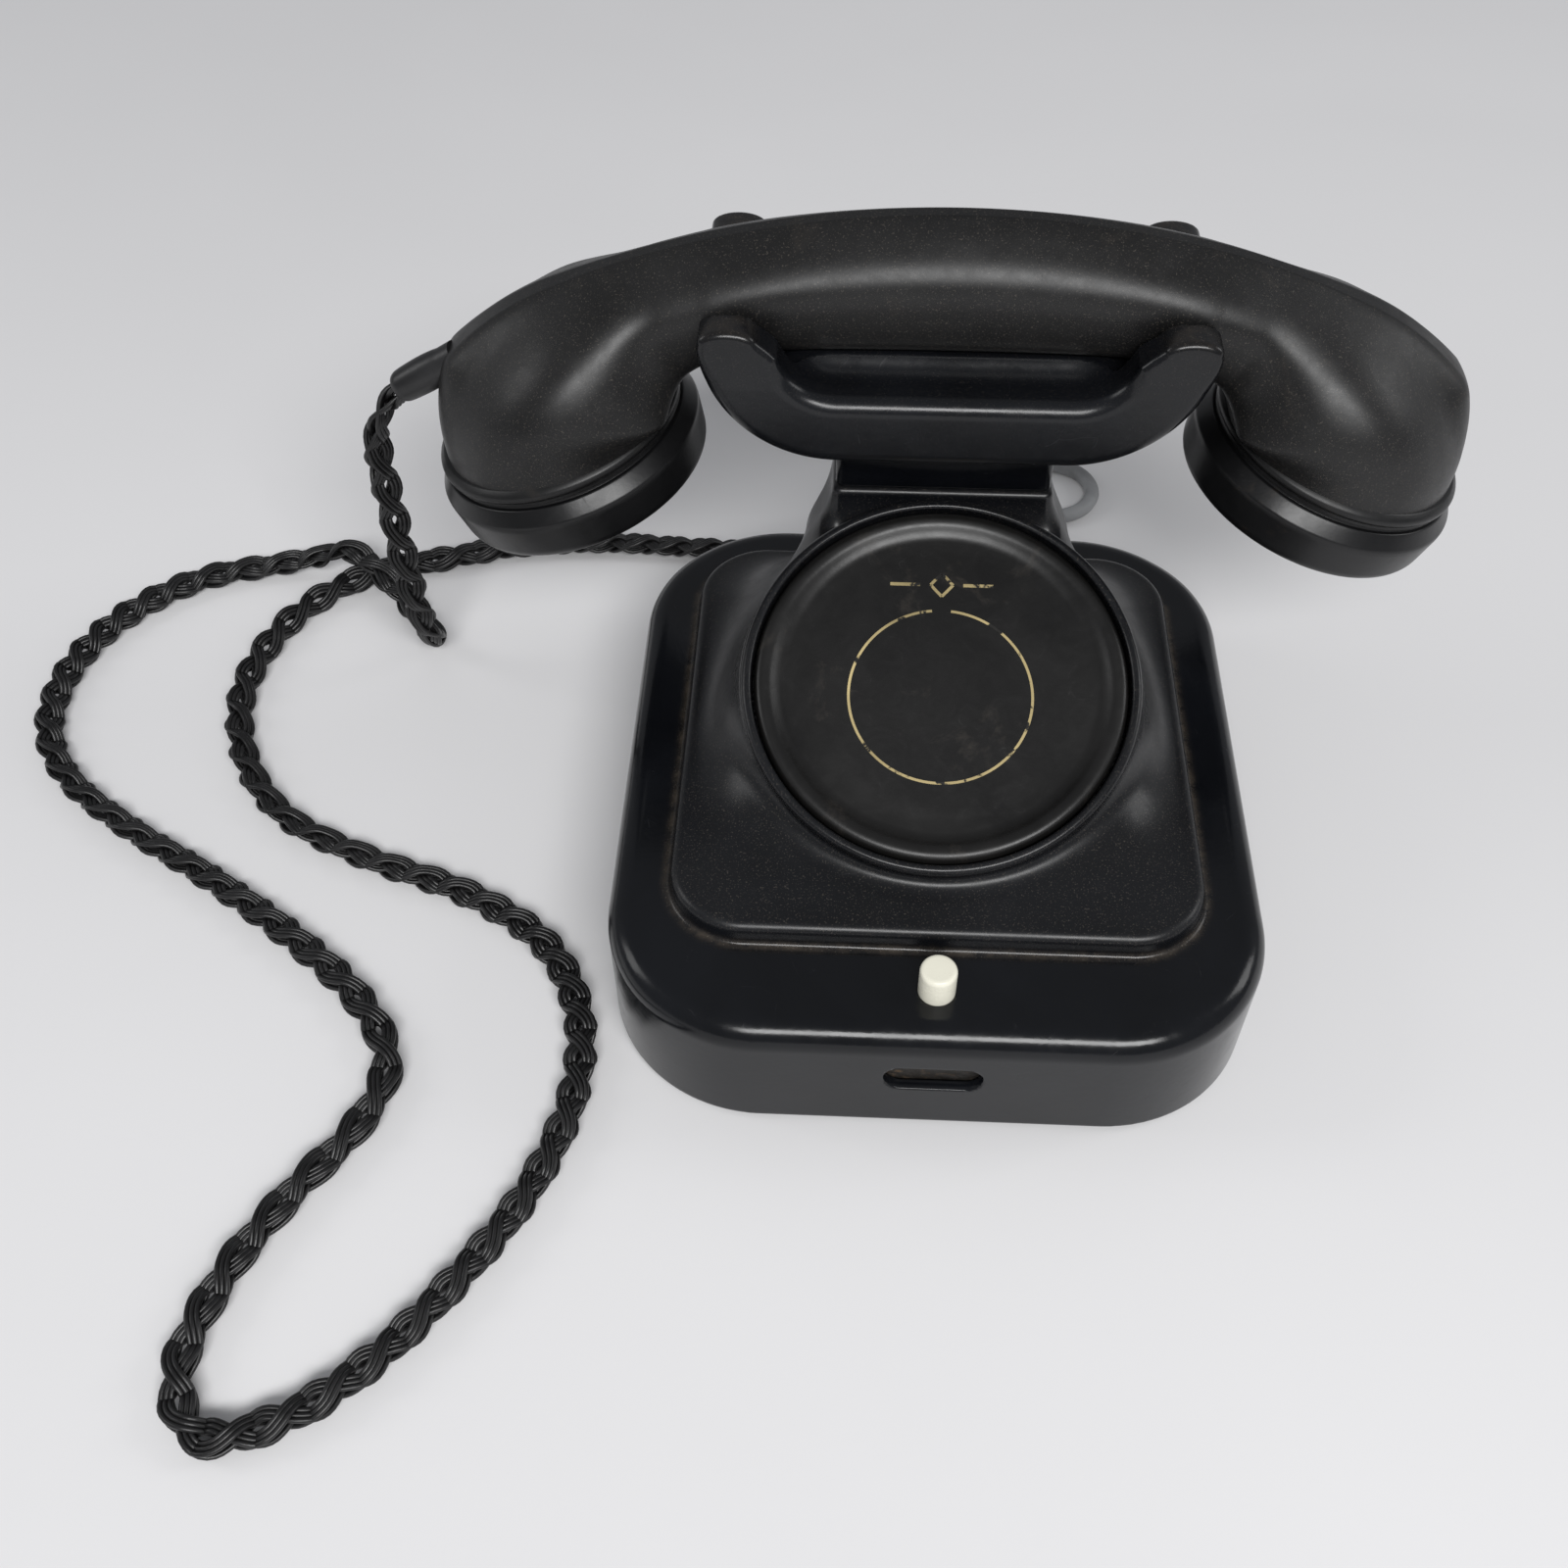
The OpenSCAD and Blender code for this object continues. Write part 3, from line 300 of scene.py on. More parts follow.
def cord_coil():
    """Ten turns in three layers, each easing into the next near its end, the last a third short."""
    coil = []
    last = len(COIL_RADII) - 1
    for i in range(len(COIL_RADII) * STEPS_PER_TURN + 1):
        n, part = divmod(i, STEPS_PER_TURN)
        part /= STEPS_PER_TURN
        here = min(n, last)
        after = min(here + 1, last)
        ease = max(0.0, (part - 0.72) / 0.28)
        ease = ease * ease * (3 - 2 * ease)
        r = COIL_RADII[here] * (1 - ease) + COIL_RADII[after] * ease
        z = COIL_HEIGHTS[here] * (1 - ease) + COIL_HEIGHTS[after] * ease
        a = -math.pi / 2 - 2 * math.pi * i / STEPS_PER_TURN
        coil.append((COIL_MIDDLE[0] + r * math.cos(a), COIL_MIDDLE[1] + r * math.sin(a), z))
    return coil[: -STEPS_PER_TURN // 3]


def line_cord_route():
    """From the gland to the coil, round it, over the top and into the plug."""
    start = [(18, 100, 14), (18, 102, 14), (18.5, 110, 9), (22, 118, 4.4), (30, 123, 2.3), (40, 125.5, 2.3),
             (48.5, 129.5, 2.3), (52.6, 137.5, 2.3), (50, 146, 2.3), (42, 151, 2.3), (32, 151.5, 2.3),
             (22, 152.7, 2.3), (13, 153.9, 2.3)]
    tail = [(-19, 179, 14.6), (-29, 176, 11), (-34, 172, 4.6), (-38.5, 170.5, 2.8), (-43, 172.5, 3.4),
            (-46, 178, 6.2), (-47, 184, 9), (-47, 189, 9)]
    every_second = cord_coil()[::2]
    return start + every_second[1:] + tail


line_line = catmull(line_cord_route(), 1.5)
verts, faces = tube_arrays(line_line, LINE_D / 2, 12)
line_cord = new_object("line_cord_run", verts, faces)
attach(line_cord, "base")
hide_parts("line_cord", "line_cord_coil")


# ---- distance fields
def smooth_min(a, b, k):
    """Union with a hollow fillet of about k millimetres."""
    h = np.clip(0.5 + 0.5 * (b - a) / k, 0, 1)
    return b * (1 - h) + a * h - k * h * (1 - h)


def rounded_rect(x, y, half_x, low_y, high_y, r):
    """Distance to a rounded rectangle in plan."""
    qx = np.abs(x) - half_x + r
    qy = np.abs(y - (low_y + high_y) / 2) - (high_y - low_y) / 2 + r
    return np.hypot(np.maximum(qx, 0), np.maximum(qy, 0)) + np.minimum(np.maximum(qx, qy), 0) - r


def lidded(side, top, e):
    """A solid under a top face and inside a side face, its upper edge rounded by e."""
    a, b = side + e, top + e
    return np.hypot(np.maximum(a, 0), np.maximum(b, 0)) + np.minimum(np.maximum(a, b), 0) - e


def block(x, y, z, centre, half, r):
    """Distance to a box with rounded edges."""
    q = [np.abs(v - c) - h + r for v, c, h in zip((x, y, z), centre, half)]
    out = np.sqrt(sum(np.maximum(v, 0) ** 2 for v in q))
    return out + np.minimum(np.maximum(np.maximum(q[0], q[1]), q[2]), 0) - r


def sample_grid(field, low, count, step):
    """The field at every point of an even grid, worked out slab by slab."""
    axes = [low[i] + step * np.arange(count[i]) for i in range(3)]
    values = np.empty(count, np.float32)
    slab = 32
    for i in range(0, count[0], slab):
        gx, gy, gz = np.meshgrid(axes[0][i : i + slab], axes[1], axes[2], indexing="ij")
        values[i : i + slab] = field(gx, gy, gz)
    return values


def crossed_cells(inside, count):
    """The grid cells that the surface runs through."""
    total = np.zeros(count - 1, np.int8)
    for dx in (0, 1):
        for dy in (0, 1):
            for dz in (0, 1):
                total += inside[dx : count[0] - 1 + dx, dy : count[1] - 1 + dy, dz : count[2] - 1 + dz]
    return np.argwhere((total > 0) & (total < 8))


def cell_points(values, cells):
    """For each cell the mean of the places where the surface cuts its edges, as a part of the cell."""
    corners = [np.array([i & 1, (i >> 1) & 1, (i >> 2) & 1]) for i in range(8)]
    place, hits = np.zeros((len(cells), 3)), np.zeros(len(cells))
    for i in range(8):
        for j in range(i + 1, 8):
            if np.abs(corners[i] - corners[j]).sum() != 1:
                continue
            a, b = values[tuple((cells + corners[i]).T)], values[tuple((cells + corners[j]).T)]
            cross = (a < 0) != (b < 0)
            t = np.where(cross, a / np.where(a == b, 1, a - b), 0)[:, None]
            place += cross[:, None] * (corners[i] * (1 - t) + corners[j] * t)
            hits += cross
    return place / hits[:, None]


def cell_quads(inside, cells, count):
    """One quad for every grid edge that the surface cuts, through the four cells round it."""
    number = np.full(count - 1, -1, np.int64)
    number[tuple(cells.T)] = np.arange(len(cells))
    faces = []
    for axis in range(3):
        u, v = (axis + 1) % 3, (axis + 2) % 3
        one = [slice(None)] * 3
        two = [slice(None)] * 3
        one[axis], two[axis] = slice(0, -1), slice(1, None)
        edge = np.argwhere(inside[tuple(one)] != inside[tuple(two)])
        eu, ev = edge[:, u], edge[:, v]
        edge = edge[(eu > 0) & (ev > 0) & (eu < count[u] - 1) & (ev < count[v] - 1)]
        starts_in = inside[tuple(edge.T)]
        quad = []
        for du, dv in ((-1, -1), (0, -1), (0, 0), (-1, 0)):
            c = edge.copy()
            c[:, u] += du
            c[:, v] += dv
            quad.append(number[tuple(c.T)])
        quad = np.stack(quad, 1)
        quad[~starts_in] = quad[~starts_in][:, ::-1]
        faces.append(quad)
    return np.concatenate(faces)


def nets(field, low, high, step):
    """Even quads over the surface where the field is zero, pulled onto it, with its own normals."""
    low, high = np.array(low, float), np.array(high, float)
    count = np.ceil((high - low) / step).astype(int) + 1
    values = sample_grid(field, low, count, step)
    inside = values < 0
    cells = crossed_cells(inside, count)
    points = low + step * (cells + cell_points(values, cells))
    faces = cell_quads(inside, cells, count)

    def value(p):
        return field(p[:, 0], p[:, 1], p[:, 2]).astype(float)

    def slope(p, e):
        return np.stack([value(p + d) - value(p - d) for d in np.eye(3) * e], 1) / (2 * e)

    for _ in range(3):
        g = slope(points, 0.08)
        move = (value(points) / np.maximum((g**2).sum(1), 0.05))[:, None] * g
        size = np.linalg.norm(move, axis=1)
        points -= move * np.minimum(1, 0.45 * step / np.maximum(size, 1e-9))[:, None]
    n = slope(points, 0.22)
    n /= np.maximum(np.linalg.norm(n, axis=1), 1e-9)[:, None]
    return points, faces, n


def point_mask(obj, name, values):
    """A number at every vertex that the finishes read."""
    layer = obj.data.attributes.new(name, "FLOAT", "POINT")
    layer.data.foreach_set("value", np.asarray(values, np.float32))


# ---- housing
WALL = 2.6
TILT = math.radians(23)  # how far the dial opening leans towards the front
LIP = (0.0, -3.5, 63.2)  # the middle of the dial opening's lip
LIP_R = 45.7
SHELF_Z = 34.5  # top of the base's low shelf
PLATEAU_Z = 39.8  # top of the plateau at its edge
NECK_Z = 79.6
BUTTON_Y = -68.3
GLAND_BRAID_X, GLAND_LINE_X, GLAND_Z = -30, 18, 14
plate_rows = rows(LIP, (1, 0, 0), (0, math.cos(TILT), math.sin(TILT)), (0, -math.sin(TILT), math.cos(TILT)))


def plate_frame(x, y, z):
    """Height along the dial opening's axis and distance from it."""
    dy, dz = y - LIP[1], z - LIP[2]
    up = -math.sin(TILT) * dy + math.cos(TILT) * dz
    across = math.cos(TILT) * dy + math.sin(TILT) * dz
    return up, np.hypot(x, across)


FOOT_Y = LIP[1] + 6 * math.sin(TILT)
FOOT_Z = LIP[2] - 6 * math.cos(TILT)


def plateau_reach():
    """How far the plateau's edge lies from the foot of the collar, in collar radii, for each direction."""
    angle = np.linspace(-math.pi, math.pi, 721)
    low, high = np.ones(721) * 0.9, np.ones(721) * 3
    for _ in range(30):
        mid = (low + high) / 2
        x, y = LIP_R * mid * np.cos(angle), FOOT_Y + LIP_R * math.cos(TILT) * mid * np.sin(angle)
        d = rounded_rect(x, y, 59.0, -56.8, 65.8, 16.4)
        low, high = np.where(d < 0, mid, low), np.where(d < 0, high, mid)
    return angle, low


REACH = plateau_reach()


def cowl_height(x, y):
    """Height of the surface that rises from the plateau's edge to the collar."""
    u, v = x / LIP_R, (y - FOOT_Y) / (LIP_R * math.cos(TILT))
    r, a = np.hypot(u, v), np.arctan2(v, u)
    edge = np.interp(a, *REACH)
    rim = FOOT_Z + LIP_R * np.sin(a) * math.sin(TILT)
    s = np.clip((edge - r) / (edge - 1), 0, 1)
    high = PLATEAU_Z + (rim - PLATEAU_Z) * s**1.9
    return np.where(r < 1, FOOT_Z + LIP_R * math.sin(TILT) * v, high)


def plateau_edge(x, y):
    """Distance in plan to the foot of the plateau."""
    return rounded_rect(x, y, 60.2, -58, 67, 17.6)


def outer_form(x, y, z):
    """The housing's outside, open downwards."""
    side_rise = 0.25 * np.clip((np.abs(x) - 60) / 8, 0, 1)
    slab = lidded(rounded_rect(x, y, 74, -82, 82, 36), z - SHELF_Z - side_rise, 6)
    step = 0.6
    hx = (cowl_height(x + step, y) - cowl_height(x - step, y)) / (2 * step)
    hy = (cowl_height(x, y + step) - cowl_height(x, y - step)) / (2 * step)
    lean = np.sqrt(1 + np.minimum(hx**2 + hy**2, 9))
    cowl = lidded(plateau_edge(x, y) + 0.14 * (z - 35.3), (z - cowl_height(x, y)) / lean, 1.9)
    body = smooth_min(slab, cowl, 1.6)
    drop = np.clip((NECK_Z - z) / 22, 0, 1)
    spread = 6.5 * drop * drop * (3 - 2 * drop) * np.clip((64 - y) / 10, 0, 1)
    neck = lidded(rounded_rect(x, y, 26.3, 42.6, 65.5, 2.2) - spread, z - NECK_Z, 1.4)
    beside_neck = np.clip(np.maximum((y - 43) / 8, (np.abs(x) - 22) / 7), 0, 1)
    body = smooth_min(body, neck, 2.5 + 8.5 * beside_neck)
    up, out = plate_frame(x, y, z)
    collar = np.maximum(lidded(out - 44.9, up + 2.2, 0.6), -up - 26)
    return smooth_min(body, collar, 3 + 3 * np.clip((38 - y) / 16, 0, 1))


def plate_seat(d, x, y, z):
    """The shell d with a ledge for the blank plate under an open collar."""
    up, out = plate_frame(x, y, z)
    ledge = np.maximum(np.abs(out - 43.3) - 2.4, np.abs(up + 7.6) - 1.4)
    recess = np.maximum(np.maximum(out - 43.4, -6.4 - up), up - 12)
    hole = np.maximum(out - 39, np.abs(up + 8) - 9)
    d = np.maximum(np.minimum(d, ledge), -recess)
    return np.maximum(d, -hole)


def front_openings(d, x, y, z):
    """The shell d with the button's hole and the slot with round ends in the front wall."""
    button_hole = np.maximum(np.hypot(x, y - BUTTON_Y) - 4.3, np.abs(z - 34) - 5)
    slot = np.hypot(np.maximum(np.abs(x) - 6.7, 0), z - 19.6) - 3.7
    flare = 0.6 * np.clip((-79.6 - y) / 2.4, 0, 1) ** 2
    d = np.maximum(d, -button_hole)
    return np.maximum(d, -np.maximum(slot - flare, y + 75))


def housing_field(x, y, z):
    """The moulding: a wall under the outside, with its openings, gland holes and screw posts."""
    outside = outer_form(x, y, z)
    d = np.maximum(outside, -(outside + WALL))
    riser = block(x, y, z, (0, MIDDLE_Y, 85.2), (21.5, 8.4, 6.8), 0.7)
    d = plate_seat(np.minimum(d, riser), x, y, z)
    d = front_openings(d, x, y, z)
    for gland_x in (GLAND_BRAID_X, GLAND_LINE_X):
        d = np.maximum(d, -np.maximum(np.hypot(x - gland_x, z - GLAND_Z) - 5, 76 - y))
    for sx in (-1, 1):
        for sy in (-1, 1):
            post = np.maximum(np.hypot(x - sx * 60, y - sy * 62) - 4, np.abs(z - 19) - 14.5)
            d = np.minimum(d, post)
    return lidded(d, 1.5 - z, 0.9)


housing_step = 0.72
points, faces, normals = nets(housing_field, (-76, -84, -0.3), (76, 84, 94), housing_step)
housing = new_object("housing_shell", points, faces, normals)
edge = plateau_edge(points[:, 0], points[:, 1])
seam_dust = np.exp(-((edge - 0.9) / 0.9) ** 2) * np.exp(-((points[:, 2] - 35.0) / 1.0) ** 2) * 0.6
point_mask(housing, "dust_line", np.clip(seam_dust, 0, 1))
above_shelf = np.clip((points[:, 2] - 36.2) / 2, 0, 1)
point_mask(housing, "satin", above_shelf * np.clip(normals[:, 2] * 2.2, 0, 1))
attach(housing, "base")
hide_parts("housing")

lip = revolve("dial_lip", [
    (43.4, -6.0), (43.4, -0.45, 0.3), (43.9, 0.0, 0.35), (44.9, 0.0, 0.7), (45.72, -0.8, 0.8),
    (45.72, -3.2, 0.3), (45.3, -3.6)], 240, plate_rows, 5)
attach(lip, "base")
point_mask(lip, "satin", np.full(len(lip.data.vertices), 0.8))


# ---- cradle
def arc(cx, cz, r, start, end, steps, rz=None):
    """Points on an arc in the x-z plane, oval where rz is given."""
    a = np.radians(np.linspace(start, end, steps))
    return np.c_[cx + r * np.cos(a), cz + (rz or r) * np.sin(a)]


def outline_distance(points, low, high, step):
    """A table of signed distances to a closed outline."""
    gx, gz = np.meshgrid(np.arange(low[0], high[0], step), np.arange(low[1], high[1], step), indexing="ij")
    p = np.stack([gx, gz], -1)
    best = np.full(gx.shape, 1e9)
    inside = np.zeros(gx.shape, bool)
    for a, b in zip(points, np.roll(points, -1, 0)):
        ab = b - a
        if ab @ ab < 1e-9:
            continue
        t = np.clip(((p - a) @ ab) / (ab @ ab), 0, 1)
        best = np.minimum(best, np.linalg.norm(p - a - t[..., None] * ab, axis=-1))
        cross = (a[1] > gz) != (b[1] > gz)
        at = a[0] + (gz - a[1]) * ab[0] / (ab[1] if ab[1] else 1e-9)
        inside ^= cross & (gx < at)
    return np.where(inside, -best, best)


def table_lookup(table, low, step, x, z):
    """The table's value at any place, blended between its four neighbours."""
    u, v = (x - low[0]) / step, (z - low[1]) / step
    u, v = np.clip(u, 0, table.shape[0] - 1.001), np.clip(v, 0, table.shape[1] - 1.001)
    i, j = u.astype(int), v.astype(int)
    a, b = u - i, v - j
    return (table[i, j] * (1 - a) * (1 - b) + table[i + 1, j] * a * (1 - b)
            + table[i, j + 1] * (1 - a) * b + table[i + 1, j + 1] * a * b)


# The cradle's right half as seen from the front: underside, horn, horn tip and the bed for the handset.
half = np.vstack([
    arc(25.5, 127.5, 30.5, -90, -6, 40), [[56, 126.5], [55.7, 128.0]], arc(49.4, 128, 6.3, 8, 172, 24, 3.0),
    [[42.3, 127.6], [40.6, 126.2]], arc(25.6, 127.5, 13.5, -14, -90, 26)])
outline = np.vstack([half, half[::-1] * [-1, 1]])
CRADLE_LOW = (-62.0, 90.0)
CRADLE_CELL = 0.25
CRADLE_TABLE = outline_distance(outline, CRADLE_LOW, (62.2, 138), CRADLE_CELL)
CRADLE_HALF_DEPTH = 24.9


def cradle_field(x, y, z):
    """The tray with its four horns, hollowed along the middle, with two screw holes."""
    side = table_lookup(CRADLE_TABLE, CRADLE_LOW, CRADLE_CELL, x, z)
    dy = np.abs(y - MIDDLE_Y)
    high = np.clip((z - 117) / 9, 0, 1)
    tray = lidded(side, dy - CRADLE_HALF_DEPTH + 0.3 * high, 3.6 - 1.9 * high * high * (3 - 2 * high))
    middle = block(x, y, z, (0, MIDDLE_Y, 111.5), (43, 10.5, 5.6), 2.0)
    d = smooth_min(tray, middle, 6.5)
    floor = 117.1 - 4.6 * np.clip((np.abs(x) - 34) / 14, 0, 1)
    bed = lidded(dy - 15.5 - 0.12 * np.maximum(z - 120, 0), floor - z, 2.5)
    d = np.maximum(d, -bed)
    for s in (-1, 1):
        from_screw = np.hypot(x - s * 12, y - MIDDLE_Y)
        d = np.maximum(d, -np.maximum(from_screw - 1.6, np.abs(z - 108) - 14))
        d = np.maximum(d, -np.maximum(from_screw - 3.3, 113 - z))
    return d


cradle_step = 0.7
points, faces, normals = nets(cradle_field, (-60, 27.5, 94), (60, 81.5, 134), cradle_step)
cradle = new_object("cradle_tray", points, faces, normals)
point_mask(cradle, "satin", np.full(len(points), 0.3))
horn_tops = np.clip((points[:, 2] - 127.5) / 3, 0, 1) * np.clip(normals[:, 2], 0, 1)
point_mask(cradle, "dust_line", horn_tops * 0.2)
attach(cradle, "cradle_unit")
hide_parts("cradle")


def box_ring(hx, hy, r, z, n=10):
    """A rounded rectangle round the cradle's middle, at one height."""
    pts = []
    for cx, cy, a0 in (
            (hx - r, hy - r, 0), (r - hx, hy - r, 90), (r - hx, r - hy, 180), (hx - r, r - hy, 270)):
        for a in np.radians(a0 + np.linspace(0, 90, n)):
            pts.append((cx + r * math.cos(a), MIDDLE_Y + cy + r * math.sin(a), z))
    return np.array(pts)


rings = [box_ring(22, 8.9, 0.6, 92.4), box_ring(22, 8.9, 0.6, 80.4), box_ring(22.4, 9.3, 1.0, 79.9),
         box_ring(24.8, 10.5, 1.4, 79.9), box_ring(25.3, 11.0, 1.8, 80.1), box_ring(25.6, 11.3, 2.0, 80.7),
         box_ring(25.6, 11.3, 2.0, 88), box_ring(25.6, 11.3, 2.0, 96.6), box_ring(25.2, 10.9, 1.7, 97)]
verts, faces = loft(rings)
sleeve = new_object("sleeve_body", verts, faces)
mark_sharp(sleeve, 42)
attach(sleeve, "cradle_unit")
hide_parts("plunger_sleeve")

# ---- handset
CUP = (90.3, 84.0)  # the middle of a cap's widest edge, in x and z
CUP_TILT = math.radians(16.8)
FAN = np.array([56.0, 100.0])  # the middle round which the handle's sections turn down into the cup
CUP_HALF_WIDTH = 29.4
BACK_TOP, BACK_RADIUS = 146, 222.0
# Half of the handle's section: height as a part of its thickness, and half width as a part of its widest.
HALF = np.array([[1, 0], [1, 0.11], [0.972, 0.22], [0.9, 0.46], [0.79, 0.76], [0.67, 0.94], [0.54, 1],
                 [0.4, 0.985], [0.24, 0.93], [0.1, 0.84], [0.02, 0.7], [0, 0.5], [0, 0]])


def back_line(x):
    """The height of the handle's back."""
    return BACK_TOP - BACK_RADIUS + np.sqrt(BACK_RADIUS**2 - x * x)


FOOT = np.array([CUP[0] + 1.2 + CUP_HALF_WIDTH * math.cos(CUP_TILT),
                 CUP[1] + 8 - CUP_HALF_WIDTH * math.sin(CUP_TILT)])
SHOULDER = np.array([117.0, 107.8])
upper_x = np.linspace(FAN[0], SHOULDER[0] + 16, 80)
upper_z = back_line(upper_x) - 3.6 * np.maximum(0, (upper_x - 92) / 22) ** 2
upper_a = np.arctan2(upper_z - FAN[1], upper_x - FAN[0])
upper_r = np.hypot(upper_x - FAN[0], upper_z - FAN[1])


def outer_reach(a, soft=1.2):
    """The back's distance from the fan's middle, the shoulder rounded by about soft millimetres."""
    lo = math.atan2(FOOT[1] - FAN[1], FOOT[0] - FAN[0])
    mid = math.atan2(SHOULDER[1] - FAN[1], SHOULDER[0] - FAN[0])
    s = np.clip((a - lo) / (mid - lo), -0.5, 2.5)
    below = (np.linalg.norm(FOOT - FAN) * (1 - s) + np.linalg.norm(SHOULDER - FAN) * s
             + 0.5 * np.sin(math.pi * np.clip(s, 0, 1)))
    above = np.interp(a, upper_a[::-1], upper_r[::-1])
    overlap = np.maximum(soft - np.abs(below - above), 0)
    return np.minimum(below, above) - overlap * overlap / (4 * soft)


def inner_reach(a):
    """The underside's distance from the fan's middle."""
    s = (a + CUP_TILT) / (math.pi / 2 + CUP_TILT)
    return 8.1 + 0.4 * s + 4.0 * np.maximum(s, 0) ** 3.2


def smooth_step(t):
    t = np.clip(t, 0, 1)
    return t * t * (3 - 2 * t)


def section(fill, n=48):
    """The handle's half section in (height fraction, half width), drawn out towards a circle."""
    t = np.linspace(0, 12, n + 1)
    ext = np.vstack([HALF[1] * [1, -1], HALF, HALF[-2] * [1, -1]])
    p = []
    for k in t:
        i = min(int(k), 11)
        u = k - i
        a, b, c, d = ext[i : i + 4]
        m1 = c - b if i == 1 else (c - a) / 2
        m2 = c - b if i == 0 else (d - b) / 2
        p.append((2 * u**3 - 3 * u**2 + 1) * b + (u**3 - 2 * u**2 + u) * m1
                 + (3 * u**2 - 2 * u**3) * c + (u**3 - u**2) * m2)
    p = np.array(p)
    a = np.radians(90 - 15 * t)
    circle = np.c_[0.5 + 0.5 * np.sin(a), np.cos(a)]
    return p * (1 - fill) + circle * fill


def handset_ring(o, d, r0, r1, half_w, fill, r1_soft=None):
    """One section, from r0 to r1 out from o along d, its flanks reaching r1_soft where that is given."""
    s = section(fill)
    crest = smooth_step((s[:, 0] - 0.92) / 0.07)
    top = r1 if r1_soft is None else r1 * crest + r1_soft * (1 - crest)
    reach = r0 * (1 - s[:, 0]) + top * s[:, 0]
    right = np.c_[o[0] + d[0] * reach, MIDDLE_Y + half_w * s[:, 1], o[1] + d[1] * reach]
    left = right[1:-1][::-1] * [1, -1, 1] + [0, 2 * MIDDLE_Y, 0]
    return np.vstack([right, left])


def handset_rings():
    """Sections from the right cup up to the handle's middle."""
    rings = []
    for s in np.r_[np.linspace(0, 0.2, 22)[:-1], np.linspace(0.2, 0.29, 24)[:-1], np.linspace(0.29, 1, 58)]:
        a = -CUP_TILT + (math.pi / 2 + CUP_TILT) * s
        w = CUP_HALF_WIDTH + (15 - CUP_HALF_WIDTH) * smooth_step((s - 0.20) / 0.62)
        rings.append(handset_ring(FAN, (math.cos(a), math.sin(a)), inner_reach(a), outer_reach(a), w,
                                  1 - smooth_step(s / 0.36), outer_reach(a, 15)))
    for x in np.linspace(54.5, 0, 30):
        low = 117.3 + (112.5 - 117.3) * (x / 56) ** 6
        rings.append(handset_ring((x, 0), (0, 1), low, back_line(x), 13.9 + 1.3 * (x / 56) ** 2, 0))
    return rings


half_rings = handset_rings()
rings = half_rings + [r * [-1, 1, 1] for r in half_rings[:-1]][::-1]
verts, faces = loft(rings)
faces = [f[::-1] for f in faces]


def cup_rows(s):
    """The frame of a cup: origin in the middle of the cap's widest edge, third axis out through the cap."""
    a = math.pi + s * CUP_TILT
    origin = (s * CUP[0], MIDDLE_Y, CUP[1])
    return rows(origin, (math.cos(a), 0, -math.sin(a)), (0, 1, 0), (math.sin(a), 0, math.cos(a)))


handle = new_object("handset_body", verts, faces)
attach(handle, "handset")
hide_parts("handset_handle")
point_mask(handle, "dust_line", np.zeros(len(verts)))
point_mask(handle, "satin", np.full(len(verts), 1.0))

RIM = [(24.6, -9.4), (29.1, -8.6, 0.3), (30.0, -7.9, 0.4), (30.6, -7.2, 0.5), (30.6, -6.1, 0.5),
       (30.1, -5.5, 0.3), (30.0, -4.4, 0.2), (25.8, -4.2, 0.1), (25.6, -5.5), (25.6, -9.4)]
CAP = [(0, 5.8), (22.6, 5.8, 0.6), (23.6, 4.6, 0.6), (23.6, -12, 0.3), (25.3, -12, 0.3), (25.3, -4.3, 0.3),
       (29.5, -4.3, 0.2), (29.6, -3.7, 0.1), (30.5, -3.7, 0.3), (30.9, -3.2, 0.3), (33.0, -0.3, 0.5),
       (33.0, 0.9, 0.4), (32.1, 8.2, 0.7), (31.5, 9.4, 0.6), (30.4, 10.2, 0.7), (28.6, 10.5, 0.8),
       (26.8, 10.2, 0.8), (20, 8.8, 6), (8, 8.3, 3), (0, 8.2)]


def hole_cutter(name, count, ring_r, hole_r, matrix):
    """Pins for a ring of holes and one in the middle."""
    pins = []
    turn = np.linspace(0, 2 * math.pi, 20, endpoint=False)
    for i in range(count + 1):
        a = 2 * math.pi * i / count
        r = 0 if i == count else ring_r
        x, y = r * math.cos(a), r * math.sin(a)
        pins.append(loft([np.array([(x + hole_r * math.cos(b), y + hole_r * math.sin(b), z) for b in turn])
                          for z in (3, 12)]))
    pin_verts, pin_faces = join_arrays(pins)
    return new_object(name, pin_verts @ matrix[:3] + matrix[3], pin_faces)


def cut(obj, cutter):
    """Cuts the piece with the cutter, then deletes the cutter."""
    mod = obj.modifiers.new("holes", "BOOLEAN")
    mod.object, mod.solver = cutter, "EXACT"
    bpy.context.view_layer.update()
    done = bpy.data.meshes.new_from_object(obj.evaluated_get(bpy.context.evaluated_depsgraph_get()))
    obj.modifiers.clear()
    obj.data = done
    bpy.data.objects.remove(cutter)
    obj.data.polygons.foreach_set("use_smooth", [True] * len(obj.data.polygons))
    mark_sharp(obj, 38)


for s, tag, cap_name, n_holes, hole_at, hole_r in (
        (-1, "left", "transmitter_cap", 8, 9.0, 1.6), (1, "right", "receiver_cap", 6, 7.5, 2.0)):
    m = cup_rows(s)
    rim = revolve("handset_rim_" + tag, RIM, 128, m)
    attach(rim, "handset")
    cap = revolve(cap_name + "_shell", CAP, 144, m, 5)
    cut(cap, hole_cutter("cutter_" + tag, n_holes, hole_at, hole_r, m))
    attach(cap, "handset")
    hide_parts(cap_name)

